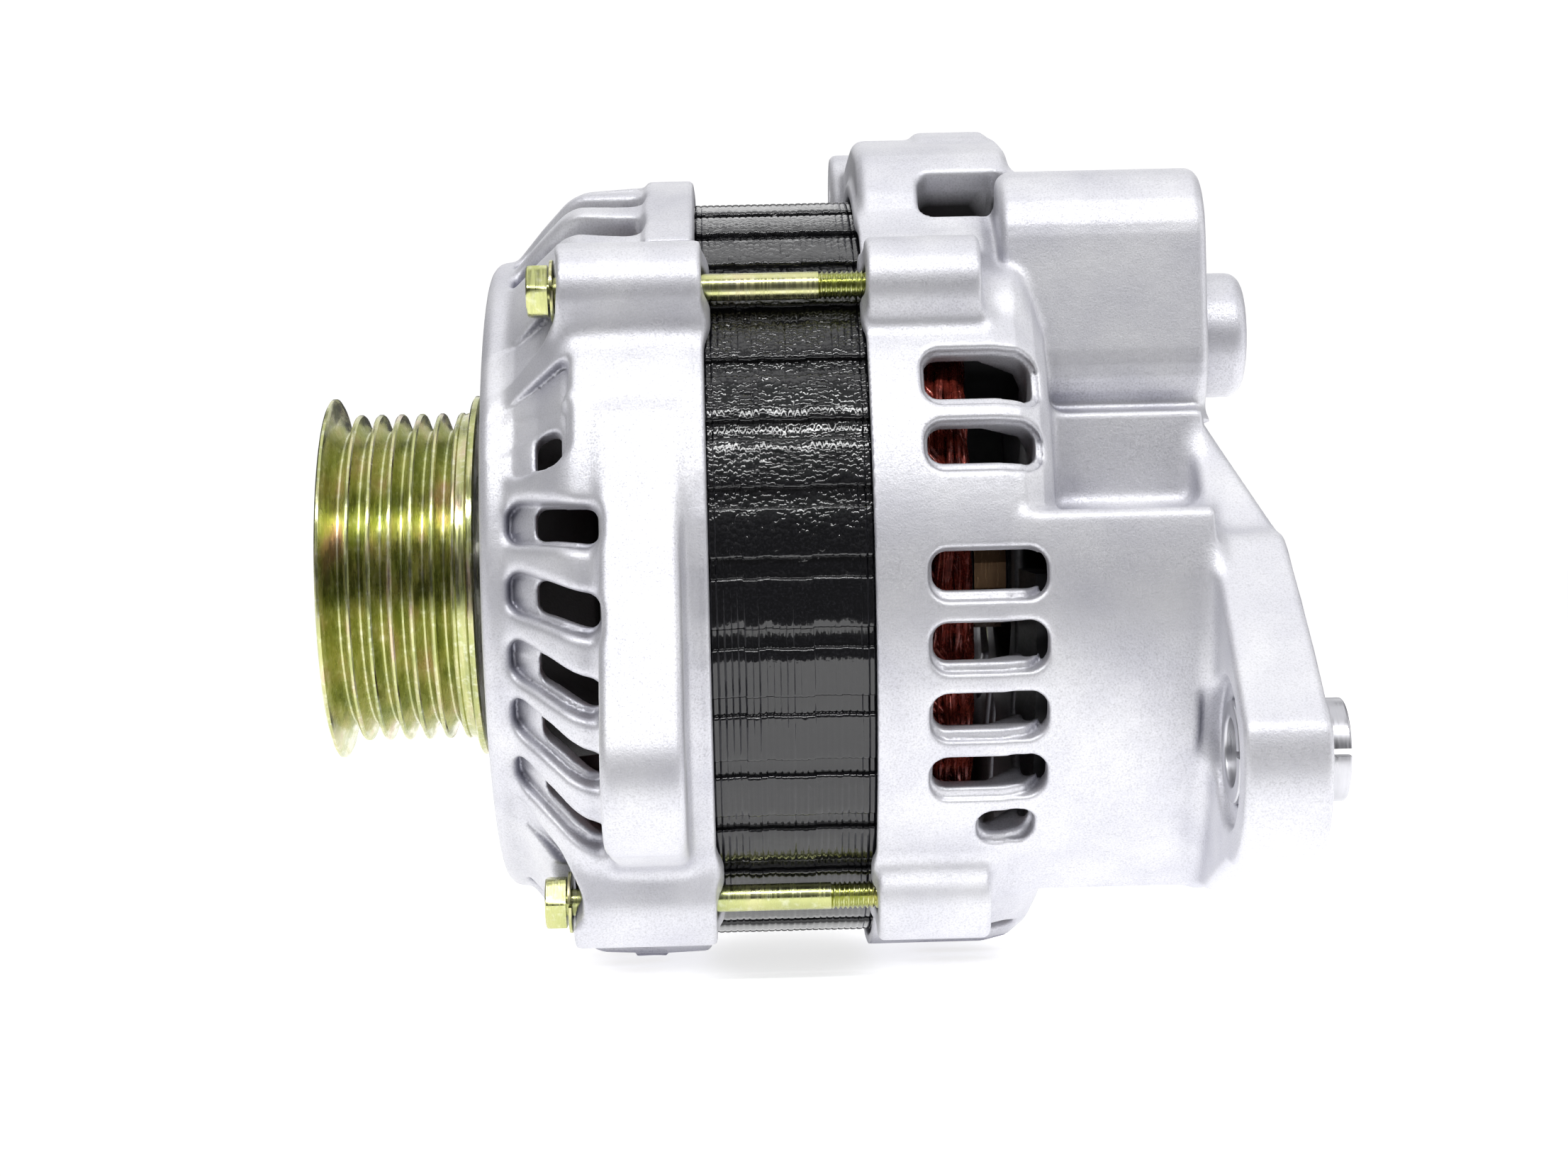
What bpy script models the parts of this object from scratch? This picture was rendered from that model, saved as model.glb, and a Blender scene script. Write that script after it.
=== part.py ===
"""A car alternator as an assembly of separate named pieces.

+X runs along the shaft from the pulley to the rear, +Z is up, and the near side, with the pivot ears,
is -Y. The origin is the centre of the shaft's flat front end. Angles about the shaft are in degrees from
the near side (-Y), positive upwards.
"""

import math

import bmesh
import bpy
from mathutils import Matrix, Vector

MM = 0.001
GAP = 0.3 * MM
CLEARING = 0.05 * MM
ROUND = 20
FINE = 32
SMALL = 8
TINY = 6
MERGE = 1e-5

# Places along the shaft.
PULLEY_FRONT = -2.0 * MM
PULLEY_REAR = 24.5 * MM
FRONT_FACE = 27.3 * MM
FRONT_BEARING = (31.3 * MM, 45.3 * MM)
FRONT_RIM_REAR = 63.8 * MM
STATOR_SPAN = (58.2 * MM, 94.1 * MM)
MIDDLE = 76.0 * MM
REAR_RIM_FRONT = 89.6 * MM
REAR_FACE = 119.0 * MM
REAR_BEARING = (127.0 * MM, 138.0 * MM)
FOOT_REAR = 142.5 * MM
BOX_REAR = 145.6 * MM
EAR_REAR = 156.0 * MM

# Radii about the shaft.
STATOR_RADIUS = 64.0 * MM
SEAT_RADIUS = 64.6 * MM
STATOR_BORE = 46.8 * MM
ROTOR_RADIUS = 46.0 * MM
BRACKET_RADIUS = 66.8 * MM
BELL_RADIUS = 66.5 * MM
COIL_HEAD_RADII = (48.5 * MM, 60.0 * MM)
CASTING_WALL = 4.0 * MM

# Pulley.
RIB_COUNT = 6
RIB_PITCH = 3.56 * MM
RIB_DEPTH = 3.0 * MM
RIB_TIP_RADIUS = 28.7 * MM
RIB_TIP_WIDTH = 0.9 * MM
RIB_ROOT_WIDTH = 0.8 * MM
FIRST_RIDGE = -0.6 * MM
FLANGE_RADIUS = 31.6 * MM
HUB_RADIUS = 14.0 * MM
RECESS_RADIUS = 21.5 * MM

# Shaft seats: (rear end of the seat, radius), from the front.
SHAFT_SEATS = (
    (13.0 * MM, 7.8 * MM),
    (45.6 * MM, 8.5 * MM),
    (106.0 * MM, 10.0 * MM),
    (138.5 * MM, 7.5 * MM),
)

# Through bolts, with their places about the shaft.
BOLT_CIRCLE = 67.3 * MM
BOLT_ANGLES = (42.0, -53.0, 132.0, 218.0)
BOLT_RADIUS = 2.3 * MM
BOLT_HOLE_RADIUS = 2.9 * MM
BOLT_HEAD_SPAN = (35.8 * MM, 39.2 * MM)
BOLT_WASHER_SPAN = (39.5 * MM, 40.2 * MM)
BOLT_WASHER_RADII = (2.7 * MM, 5.3 * MM)
BOLT_TIP = 104.5 * MM
BOSS_RADIUS = 7.5 * MM
SPOT_FACE_RADIUS = 6.3 * MM
FRONT_BOSS_FACE = 40.5 * MM
REAR_BOSS_END = 108.0 * MM

# Pivot ears and the adjuster lug: (Y, Z) of each axis.
PIVOT = (-70.0 * MM, -30.0 * MM)
FRONT_EAR_SPAN = (46.9 * MM, 59.7 * MM)
FRONT_EAR_RADIUS = 14.0 * MM
REAR_EAR_RADIUS = 18.0 * MM
PIVOT_BOLT_RADIUS = 5.4 * MM
COUNTERBORE_RADIUS = 11.7 * MM
BUSH_SPAN = (143.2 * MM, 160.5 * MM)
BUSH_RADIUS = 8.0 * MM
LUG = (31.0 * MM, 66.0 * MM)
LUG_SPAN = (87.5 * MM, 113.0 * MM)
LUG_RADIUS = 11.0 * MM
LUG_HOLE_RADIUS = 4.3 * MM

# Upper housing, its end boss and the connector.
BOX_FLOOR = 22.0 * MM
BOX_FAR_SIDE = 28.0 * MM
BOX_NEAR_SIDE = -46.5 * MM
BOX_CORNER = 12.0 * MM
BOX_SHOULDER = 52.5 * MM
BOX_CROWN = ((-12.0 * MM, 66.5 * MM), (8.0 * MM, 66.2 * MM))
BOX_CROWN_END = 60.5 * MM
DOME = (-18.0 * MM, 38.0 * MM)
DOME_RADIUS = 10.6 * MM
DOME_REAR = 155.2 * MM
NOTCH_SPAN = (133.6 * MM, 141.3 * MM)

# Brushes.
RING_RADIUS = 11.4 * MM
RING_SPANS = ((109.5 * MM, 115.0 * MM), (118.0 * MM, 123.5 * MM))
BRUSH_SIZE = (4.4 * MM, 6.0 * MM, 15.0 * MM)
BRUSH_CHANNEL_TOP = 42.0 * MM
SPRING_RADIUS = 1.6 * MM
SPRING_WIRE = 0.35 * MM
SPRING_TURNS = 5

# Rectifier in the foot chamber: sector radii, angles and diode places.
SINK_RADII = (31.0 * MM, 55.0 * MM)
SINK_ANGLES = (-2.0, -58.0)
DIODE_ANGLES = (-12.0, -30.0, -48.0)
DIODE_CIRCLE = 43.0 * MM
DIODE_RADIUS = 6.0 * MM
NEGATIVE_SINK_SPAN = (132.5 * MM, 136.5 * MM)
NEGATIVE_DIODE_SPAN = (130.5 * MM, 137.0 * MM)
POSITIVE_SINK_SPAN = (121.5 * MM, 125.5 * MM)
POSITIVE_DIODE_SPAN = (120.0 * MM, 126.5 * MM)
TERMINAL_BLOCK_RADII = (30.5 * MM, 57.5 * MM)
TERMINAL_BLOCK_SPAN = (115.3 * MM, 118.8 * MM)

# Rear face: (Y, Z) of the output stud and of the three screws.
TERMINAL = (38.0 * MM, -12.0 * MM)
COVER_SCREWS = ((48.0 * MM, 10.0 * MM), (20.0 * MM, -43.0 * MM), (37.0 * MM, 34.0 * MM))
SCREW_ACROSS_FLATS = 8.0 * MM
SCREW_RADIUS = 2.3 * MM
SCREW_HOLE_RADIUS = 2.6 * MM
STUD_RADIUS = 4.0 * MM
STUD_SPAN = (116.0 * MM, 142.0 * MM)
BATTERY_NUT_SPAN = (125.3 * MM, 131.8 * MM)
BATTERY_NUT_ACROSS_FLATS = 13.0 * MM

# Pulley nut, its lock washer and the collar behind the pulley.
NUT_ACROSS_FLATS = 24.0 * MM
NUT_SPAN = (2.5 * MM, 11.2 * MM)
NUT_BORE_RADIUS = 8.1 * MM
LOCK_WASHER_SPAN = (11.5 * MM, 12.9 * MM)
LOCK_WASHER_RADIUS = 12.6 * MM
COLLAR_SPAN = (24.8 * MM, 31.0 * MM)
COLLAR_RADII = (8.9 * MM, 13.0 * MM)

# Claw poles: fingers, their reach from the middle, and the width of the gaps at the root and at the tip.
FINGERS = 6
FINGER_REACH = 20.5 * MM
ROOT_GAP = 21.0 * MM
TIP_GAP = 36.0 * MM
GAP_RADII = (34.8 * MM, 50.0 * MM)
GAP_REACH = 22.0 * MM

# Field coil and its bobbin.
BOBBIN_FLANGE_RADIUS = 34.4 * MM
BOBBIN_CORE_RADIUS = 21.0 * MM
BOBBIN_HALF_LENGTH = 9.7 * MM
BOBBIN_WEB = 1.4 * MM
BOBBIN_WALL = 1.2 * MM

# Fans: disc and blade spans, blades, and how far each blade leans in degrees.
FAN_RADII = (10.3 * MM, 45.0 * MM)
BLADE_RADII = (34.0 * MM, 40.0 * MM, 44.8 * MM)
FRONT_FAN = ((53.4 * MM, 54.6 * MM), (46.0 * MM, 53.8 * MM), 9)
REAR_FAN = ((97.4 * MM, 98.6 * MM), (98.2 * MM, 106.2 * MM), 11)
BLADE_LEAN = 14.0

# Bearings: bore, inner ring, outer ring's bore and outer radius; then the balls.
FRONT_BEARING_RADII = (8.8 * MM, 12.2 * MM, 19.6 * MM, 23.5 * MM)
FRONT_BALL_RADIUS = 3.4 * MM
REAR_BEARING_RADII = (7.8 * MM, 10.2 * MM, 14.9 * MM, 17.5 * MM)
REAR_BALL_RADIUS = 2.05 * MM
BALLS = 7
RETAINER_SPAN = (45.6 * MM, 47.1 * MM)
RETAINER_RADII = (18.0 * MM, 31.5 * MM)
RETAINER_SCREW_CIRCLE = 27.5 * MM

# Stator: slots for the winding, outer grooves as (width, depth), slots as (width, depth).
SLOTS = 36
GROOVE = (3.0 * MM, 0.8 * MM)
SLOT = (3.6 * MM, 11.2 * MM)
BAR_WIDTH = 2.6 * MM
BAR_RADII = (49.5 * MM, 57.0 * MM)
COIL_HEAD_ENDS = (46.5 * MM, 105.5 * MM)
COIL_CROWN = 2.5 * MM

# Vents: centre angles.
FRONT_NEAR_VENTS = (18.4, 7.0, -4.6, -16.0, -26.5, -38.0)
FRONT_TOP_VENTS = (60.5, 71.0, 81.5, 92.0, 102.5)
FRONT_FAR_VENTS = (151.0, 161.5, 172.0, 182.5, 193.0)
FRONT_LOWER_VENTS = (241.0, 252.0, 263.0, 274.0, 285.0)
FRONT_OTHER_VENTS = FRONT_TOP_VENTS + FRONT_FAR_VENTS + FRONT_LOWER_VENTS
REAR_NEAR_VENTS = (24.0, 14.6, -2.0, -12.0, -22.0, -32.6)
REAR_OTHER_VENTS = (152.0, 162.0, 172.0, 182.0, 192.0, 202.0, 236.0, 247.0, 258.0, 269.0, 280.0, 291.0)
REAR_VENT_WIDTH = 6.1 * MM
REAR_SHORT_VENT = -41.0
REAR_TOP_VENT = 66.0
FACE_VENTS = (164.0, 178.0, 206.0, 220.0, 234.0)
FACE_VENT_RADII = (32.0 * MM, 54.0 * MM)
FACE_VENT_WIDTH = 5.2 * MM
WINDOWS = 8
WINDOW_HALF_ANGLE = 14.0
WINDOW_RADII = (36.0 * MM, 47.5 * MM)

ALUMINIUM = ("cast_aluminium", (0.80, 0.80, 0.82), 0.55, 0.85)
CHROMATE = ("yellow_chromate", (0.72, 0.62, 0.25), 0.32, 0.95)
VARNISH = ("varnished_steel", (0.03, 0.03, 0.035), 0.22, 0.30)
COPPER = ("copper_enamel", (0.45, 0.12, 0.05), 0.30, 0.60)
STEEL = ("bare_steel", (0.55, 0.55, 0.56), 0.35, 0.95)
BEARING_STEEL = ("bearing_steel", (0.70, 0.70, 0.72), 0.18, 1.0)
BLACK_PLASTIC = ("black_plastic", (0.03, 0.03, 0.03), 0.50, 0.0)
BOBBIN_PLASTIC = ("bobbin_plastic", (0.75, 0.70, 0.60), 0.55, 0.0)
RING_BRASS = ("slip_ring_brass", (0.75, 0.50, 0.30), 0.25, 1.0)
CARBON = ("brush_carbon", (0.10, 0.10, 0.11), 0.70, 0.20)
SHEET_STEEL = ("fan_steel", (0.35, 0.36, 0.38), 0.40, 0.90)
SINTERED = ("bush_steel", (0.50, 0.50, 0.52), 0.45, 0.90)


def clear_scene():
    """Empty the scene."""
    for item in list(bpy.data.objects):
        bpy.data.objects.remove(item, do_unlink=True)


def new_collection(name, parent, hidden=False):
    """A collection under another."""
    collection = bpy.data.collections.new(name)
    collection.hide_render = hidden
    parent.children.link(collection)
    return collection


clear_scene()
PARTS = new_collection("car_alternator", bpy.context.scene.collection)
CUTTERS = new_collection("cutters", bpy.context.scene.collection, hidden=True)


def material_of(finish):
    """The shared material of a finish: name, colour, roughness and metallic value."""
    name, colour, roughness, metallic = finish
    material = bpy.data.materials.get(name)
    if material:
        return material
    material = bpy.data.materials.new(name)
    material.use_nodes = True
    shader = material.node_tree.nodes["Principled BSDF"]
    shader.inputs["Base Color"].default_value = (*colour, 1.0)
    shader.inputs["Roughness"].default_value = roughness
    shader.inputs["Metallic"].default_value = metallic
    return material


def place(obj, finish=None):
    """Link an object: a part where a finish is given, and a hidden cutter where it isn't."""
    if finish:
        PARTS.objects.link(obj)
        obj.data.materials.clear()
        obj.data.materials.append(material_of(finish))
    else:
        CUTTERS.objects.link(obj)
        obj.hide_render = True
        obj.display_type = "WIRE"
    return obj


def around(radius, degrees):
    """(Y, Z) at a radius and an angle about the shaft."""
    turn = math.radians(degrees)
    return (-radius * math.cos(turn), radius * math.sin(turn))


def arc(centre, radius, start, end, steps):
    """Points (Y, Z) on an arc about a centre, from one angle to another."""
    points = []
    for step in range(steps + 1):
        y, z = around(radius, start + (end - start) * step / steps)
        points.append((centre[0] + y, centre[1] + z))
    return points


def turned(name, profile, segments=ROUND, finish=None, axis=(0.0, 0.0)):
    """A turned shape about a line along X through (Y, Z) = axis, from its (X, radius) outline."""
    area = 0.0
    for (x0, r0), (x1, r1) in zip(profile, profile[1:] + profile[:1]):
        area += x0 * r1 - x1 * r0
    points = profile if area > 0 else profile[::-1]
    solid_core = any(radius == 0.0 for _, radius in points)
    if solid_core:
        while points[0][1] != 0.0 or points[-1][1] != 0.0:
            points = points[1:] + points[:1]
    mesh = bpy.data.meshes.new(name)
    count = len(points)
    links = count - 1 if solid_core else count
    edges = [(index, (index + 1) % count) for index in range(links)]
    mesh.from_pydata([(x, radius, 0.0) for x, radius in points], edges, [])
    obj = bpy.data.objects.new(name, mesh)
    obj.location = (0.0, axis[0], axis[1])
    screw = obj.modifiers.new("turn", "SCREW")
    screw.axis = "X"
    screw.steps = segments
    screw.render_steps = segments
    screw.use_merge_vertices = True
    screw.merge_threshold = MERGE
    return place(obj, finish)


def ring(name, span, inner, outer, segments=ROUND, finish=None, axis=(0.0, 0.0)):
    """A plain ring along X."""
    profile = [(span[0], inner), (span[0], outer), (span[1], outer), (span[1], inner)]
    return turned(name, profile, segments, finish, axis)


def rod(name, span, radius, segments=ROUND, finish=None, axis=(0.0, 0.0)):
    """A plain rod along X."""
    profile = [(span[0], 0.0), (span[0], radius), (span[1], radius), (span[1], 0.0)]
    return turned(name, profile, segments, finish, axis)


def outline_solid(name, outlines, thickness, matrix, finish=None):
    """Flat outlines in a local XY plane, given a thickness along local Z, then placed by a matrix."""
    curve = bpy.data.curves.new(name, "CURVE")
    curve.dimensions = "2D"
    curve.fill_mode = "BOTH"
    curve.extrude = thickness / 2
    for outline in outlines:
        spline = curve.splines.new("POLY")
        spline.points.add(len(outline) - 1)
        for point, (first, second) in zip(spline.points, outline):
            point.co = (first, second, 0.0, 1.0)
        spline.use_cyclic_u = True
    drawn = bpy.data.objects.new(name, curve)
    bpy.context.scene.collection.objects.link(drawn)
    drawn.matrix_world = matrix
    bpy.context.view_layer.update()
    graph = bpy.context.evaluated_depsgraph_get()
    mesh = bpy.data.meshes.new_from_object(drawn.evaluated_get(graph))
    shape = bmesh.new()
    shape.from_mesh(mesh)
    bmesh.ops.remove_doubles(shape, verts=shape.verts, dist=MERGE)
    bmesh.ops.recalc_face_normals(shape, faces=shape.faces)
    shape.to_mesh(mesh)
    shape.free()
    bpy.data.objects.remove(drawn)
    bpy.data.curves.remove(curve)
    mesh.name = name
    obj = bpy.data.objects.new(name, mesh)
    obj.matrix_world = matrix
    return place(obj, finish)


def plate(name, outlines, span, finish=None):
    """Outlines in (Y, Z) with a span along X."""
    facing = Matrix(((0, 0, 1, 0), (1, 0, 0, 0), (0, 1, 0, 0), (0, 0, 0, 1)))
    matrix = Matrix.Translation((sum(span) / 2, 0.0, 0.0)) @ facing
    return outline_solid(name, outlines, span[1] - span[0], matrix, finish)


def radial_plate(name, outline, radii, degrees, finish=None):
    """An outline in (X, tangent) with a span along the radius at an angle about the shaft."""
    turn = Matrix.Rotation(math.radians(90.0 - degrees), 4, "X")
    matrix = turn @ Matrix.Translation((0.0, 0.0, sum(radii) / 2))
    return outline_solid(name, [outline], radii[1] - radii[0], matrix, finish)


def block(name, low, high, finish=None):
    """A box between two corners."""
    mesh = bpy.data.meshes.new(name)
    size = Vector(high) - Vector(low)
    shape = bmesh.new()
    bmesh.ops.create_cube(shape, size=1.0, matrix=Matrix.Diagonal((*size, 1.0)))
    shape.to_mesh(mesh)
    shape.free()
    obj = bpy.data.objects.new(name, mesh)
    obj.location = (Vector(low) + Vector(high)) / 2
    return place(obj, finish)


def hexagon(across_flats):
    """The six (Y, Z) corners of a hexagon about its own centre."""
    return arc((0.0, 0.0), across_flats / math.sqrt(3), 0.0, 300.0, 5)


def shifted(outline, offset):
    """An outline moved by an offset."""
    return [(first + offset[0], second + offset[1]) for first, second in outline]


def slot_outline(x_span, width, corner, slant=0.0):
    """A slot in (X, tangent) with cut corners, leaning by slant from its front to its rear."""
    front, rear = x_span
    half = width / 2
    return [
        (front, slant / 2 - half + corner),
        (front + corner, slant / 2 - half),
        (rear - corner, -slant / 2 - half),
        (rear, -slant / 2 - half + corner),
        (rear, -slant / 2 + half - corner),
        (rear - corner, -slant / 2 + half),
        (front + corner, slant / 2 + half),
        (front, slant / 2 + half - corner),
    ]


def plain_slot(x_span, width, slant=0.0):
    """A slot in (X, tangent) with square corners, leaning by slant from its front to its rear."""
    front, rear = x_span
    half = width / 2
    shift = slant / 2
    return [(front, shift - half), (rear, -shift - half), (rear, half - shift), (front, half + shift)]


def combine(target, others, operation):
    """One Boolean of the target with a list of helpers."""
    kind = operation.lower()
    helpers = new_collection(f"{target.name}_{kind}_{len(target.modifiers)}", CUTTERS, hidden=True)
    for other in others:
        CUTTERS.objects.unlink(other)
        helpers.objects.link(other)
    modifier = target.modifiers.new(kind, "BOOLEAN")
    modifier.operation = operation
    modifier.operand_type = "COLLECTION"
    modifier.collection = helpers
    modifier.solver = "EXACT"
    return target


def shade(obj):
    """Smooth shading that keeps the hard edges of a turned piece."""
    mesh = obj.data
    if mesh.polygons:
        mesh.shade_smooth()
        mesh.set_sharp_from_angle(angle=math.radians(35.0))


def make_pulley():
    """The belt pulley: six V grooves between taller end flanges, and a recess in front for the nut."""
    profile = [
        (PULLEY_FRONT, RECESS_RADIUS),
        (PULLEY_FRONT, FLANGE_RADIUS),
        (FIRST_RIDGE - 0.4 * MM, FLANGE_RADIUS),
    ]
    tip = RIB_TIP_WIDTH / 2
    root = RIB_ROOT_WIDTH / 2
    for index in range(RIB_COUNT):
        ridge = FIRST_RIDGE + index * RIB_PITCH
        groove = ridge + RIB_PITCH / 2
        profile.append((ridge + tip, RIB_TIP_RADIUS))
        profile.append((groove - root, RIB_TIP_RADIUS - RIB_DEPTH))
        profile.append((groove + root, RIB_TIP_RADIUS - RIB_DEPTH))
        profile.append((ridge + RIB_PITCH - tip, RIB_TIP_RADIUS))
    profile += [
        (PULLEY_REAR - 2.0 * MM, RIB_TIP_RADIUS),
        (PULLEY_REAR - 1.4 * MM, FLANGE_RADIUS),
        (PULLEY_REAR, FLANGE_RADIUS),
        (PULLEY_REAR, HUB_RADIUS),
        (PULLEY_REAR, 8.8 * MM),
        (13.2 * MM, 8.8 * MM),
        (13.2 * MM, HUB_RADIUS),
        (10.0 * MM, RECESS_RADIUS),
    ]
    turned("pulley", profile, ROUND, CHROMATE)


def make_shaft():
    """The stepped shaft, flat at its front end."""
    profile = [(0.0, 0.0)]
    start = 0.0
    for end, radius in SHAFT_SEATS:
        profile += [(start, radius), (end, radius)]
        start = end
    profile.append((start, 0.0))
    turned("rotor_shaft", profile, ROUND, STEEL)


def make_pulley_fixings():
    """The nut and lock washer in the pulley's recess, and the collar behind the pulley."""
    nut = plate("pulley_nut", [hexagon(NUT_ACROSS_FLATS)], NUT_SPAN, CHROMATE)
    combine(nut, [rod("pulley_nut_bore", (0.0, 13.0 * MM), NUT_BORE_RADIUS, 16)], "DIFFERENCE")
    ring("pulley_lock_washer", LOCK_WASHER_SPAN, NUT_BORE_RADIUS, LOCK_WASHER_RADIUS, 16, CHROMATE)
    ring("front_spacer_collar", COLLAR_SPAN, COLLAR_RADII[0], COLLAR_RADII[1], ROUND, STEEL)


def claw_pole(name, facing, turn_degrees):
    """A claw pole: half of the core, a disc and six tapering fingers, facing +1 or -1 along X."""
    reach = FINGER_REACH
    outline = [
        (-0.15 * MM, 10.3 * MM),
        (-0.15 * MM, 19.5 * MM),
        (-10.0 * MM, 19.5 * MM),
        (-10.0 * MM, 36.0 * MM),
        (reach - 1.0 * MM, 41.0 * MM),
        (reach, ROTOR_RADIUS - 1.5 * MM),
        (reach - 1.5 * MM, ROTOR_RADIUS),
        (-19.0 * MM, ROTOR_RADIUS),
        (-21.0 * MM, ROTOR_RADIUS - 2.0 * MM),
        (-21.0 * MM, 10.3 * MM),
    ]
    pole = turned(name, [(MIDDLE + facing * x, radius) for x, radius in outline], 24, STEEL)
    root = MIDDLE - facing * GAP_REACH
    tip = MIDDLE + facing * GAP_REACH
    trapezoid = [(root, -ROOT_GAP / 2), (tip, -TIP_GAP / 2), (tip, TIP_GAP / 2), (root, ROOT_GAP / 2)]
    gaps = []
    for index in range(FINGERS):
        degrees = turn_degrees + 360.0 / FINGERS * (index + 0.5)
        gaps.append(radial_plate(f"{name}_gap_{index}", trapezoid, GAP_RADII, degrees))
    combine(pole, gaps, "DIFFERENCE")


def make_field():
    """The field coil on its bobbin, between the claw poles."""
    flange = BOBBIN_FLANGE_RADIUS
    core = BOBBIN_CORE_RADIUS
    half = BOBBIN_HALF_LENGTH
    web = BOBBIN_WEB
    profile = [
        (MIDDLE - half, core - BOBBIN_WALL),
        (MIDDLE - half, flange),
        (MIDDLE - half + web, flange),
        (MIDDLE - half + web, core),
        (MIDDLE + half - web, core),
        (MIDDLE + half - web, flange),
        (MIDDLE + half, flange),
        (MIDDLE + half, core - BOBBIN_WALL),
    ]
    turned("coil_bobbin", profile, ROUND, BOBBIN_PLASTIC)
    inside = half - web - GAP
    span = (MIDDLE - inside, MIDDLE + inside)
    ring("field_coil", span, core + GAP, flange - 0.4 * MM, ROUND, COPPER)


def fan(name, disc_span, blade_span, blades, lean):
    """A cooling fan: a thin disc with curved blades standing from it."""
    disc = ring(name, disc_span, FAN_RADII[0], FAN_RADII[1], 24, SHEET_STEEL)
    near, middle, far = BLADE_RADII
    sheets = []
    for index in range(blades):
        start = 360.0 / blades * index
        blade = [
            around(near, start),
            around(middle, start + lean * 0.7),
            around(far, start + lean),
            around(far, start + lean + 1.8),
            around(middle, start + lean * 0.7 + 2.0),
            around(near, start + 2.3),
        ]
        sheets.append(plate(f"{name}_blade_{index}", [blade], blade_span))
    combine(disc, sheets, "UNION")


def make_slip_rings():
    """Two slip rings on their moulding."""
    seat = 9.4 * MM
    shoulder = 10.8 * MM
    ends = (107.2 * MM, 126.0 * MM)
    profile = [(ends[0], 7.8 * MM), (ends[0], shoulder)]
    for front, rear in RING_SPANS:
        profile += [(front - GAP, shoulder), (front - GAP, seat)]
        profile += [(rear + GAP, seat), (rear + GAP, shoulder)]
    profile += [(ends[1], shoulder), (ends[1], 7.8 * MM)]
    turned("slip_ring_moulding", profile, 16, BLACK_PLASTIC)
    for name, span in zip(("front_slip_ring", "rear_slip_ring"), RING_SPANS):
        ring(name, span, seat + GAP, RING_RADIUS, 16, RING_BRASS)


def bearing(name, span, radii, ball_radius, balls):
    """A ball bearing: inner ring, outer ring, and balls joined to their cage."""
    ring(f"{name}_inner_ring", span, radii[0], radii[1], 16, BEARING_STEEL)
    ring(f"{name}_outer_ring", span, radii[2], radii[3], 20, BEARING_STEEL)
    pitch = (radii[1] + radii[2]) / 2
    middle = sum(span) / 2
    web = ball_radius * 0.28
    half = ball_radius * 1.15
    cage_span = (middle - half, middle + half)
    cage = ring(f"{name}_ball_cage", cage_span, pitch - web, pitch + web, 16, BEARING_STEEL)
    spheres = []
    for index in range(balls):
        y, z = around(pitch, 360.0 / balls * index)
        mesh = bpy.data.meshes.new(f"{name}_ball_{index}")
        shape = bmesh.new()
        bmesh.ops.create_uvsphere(shape, u_segments=TINY, v_segments=4, radius=ball_radius)
        shape.to_mesh(mesh)
        shape.free()
        ball = bpy.data.objects.new(f"{name}_ball_{index}", mesh)
        ball.location = (middle, y, z)
        spheres.append(place(ball))
    combine(cage, spheres, "UNION")


def make_stator():
    """The laminated core with outer grooves and winding slots, and the winding in them."""
    pitch = 360.0 / SLOTS
    groove_floor = STATOR_RADIUS - GROOVE[1]
    slot_floor = STATOR_BORE + SLOT[1]
    half = math.degrees(GROOVE[0] / 2 / STATOR_RADIUS)
    near = math.degrees(SLOT[0] / 2 / STATOR_BORE)
    far = math.degrees(SLOT[0] / 2 / slot_floor)
    outer = []
    inner = []
    for index in range(SLOTS):
        centre = index * pitch
        outer += [around(STATOR_RADIUS, centre - half), around(groove_floor, centre - half)]
        outer += [around(groove_floor, centre + half), around(STATOR_RADIUS, centre + half)]
        inner += [around(STATOR_BORE, centre - near), around(slot_floor, centre - far)]
        inner += [around(slot_floor, centre + far), around(STATOR_BORE, centre + near)]
    plate("stator_core", [outer, inner], STATOR_SPAN, VARNISH)

    inside, outside = COIL_HEAD_RADII
    crown = COIL_CROWN
    front_end, rear_end = COIL_HEAD_ENDS
    front_head = [
        (STATOR_SPAN[0] - GAP, inside),
        (front_end + crown, inside),
        (front_end, inside + crown),
        (front_end, outside - crown),
        (front_end + crown, outside),
        (STATOR_SPAN[0] - GAP, outside),
    ]
    rear_head = [
        (STATOR_SPAN[1] + GAP, inside),
        (STATOR_SPAN[1] + GAP, outside),
        (rear_end - crown, outside),
        (rear_end, outside - crown),
        (rear_end, inside + crown),
        (rear_end - crown, inside),
    ]
    winding = turned("stator_winding", front_head, 24, COPPER)
    bars = [turned("rear_coil_head", rear_head, 24)]
    bar = plain_slot((STATOR_SPAN[0] - 3.0 * MM, STATOR_SPAN[1] + 3.0 * MM), BAR_WIDTH)
    for index in range(SLOTS):
        bars.append(radial_plate(f"slot_bar_{index}", bar, BAR_RADII, index * pitch))
    combine(winding, bars, "UNION")


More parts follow.
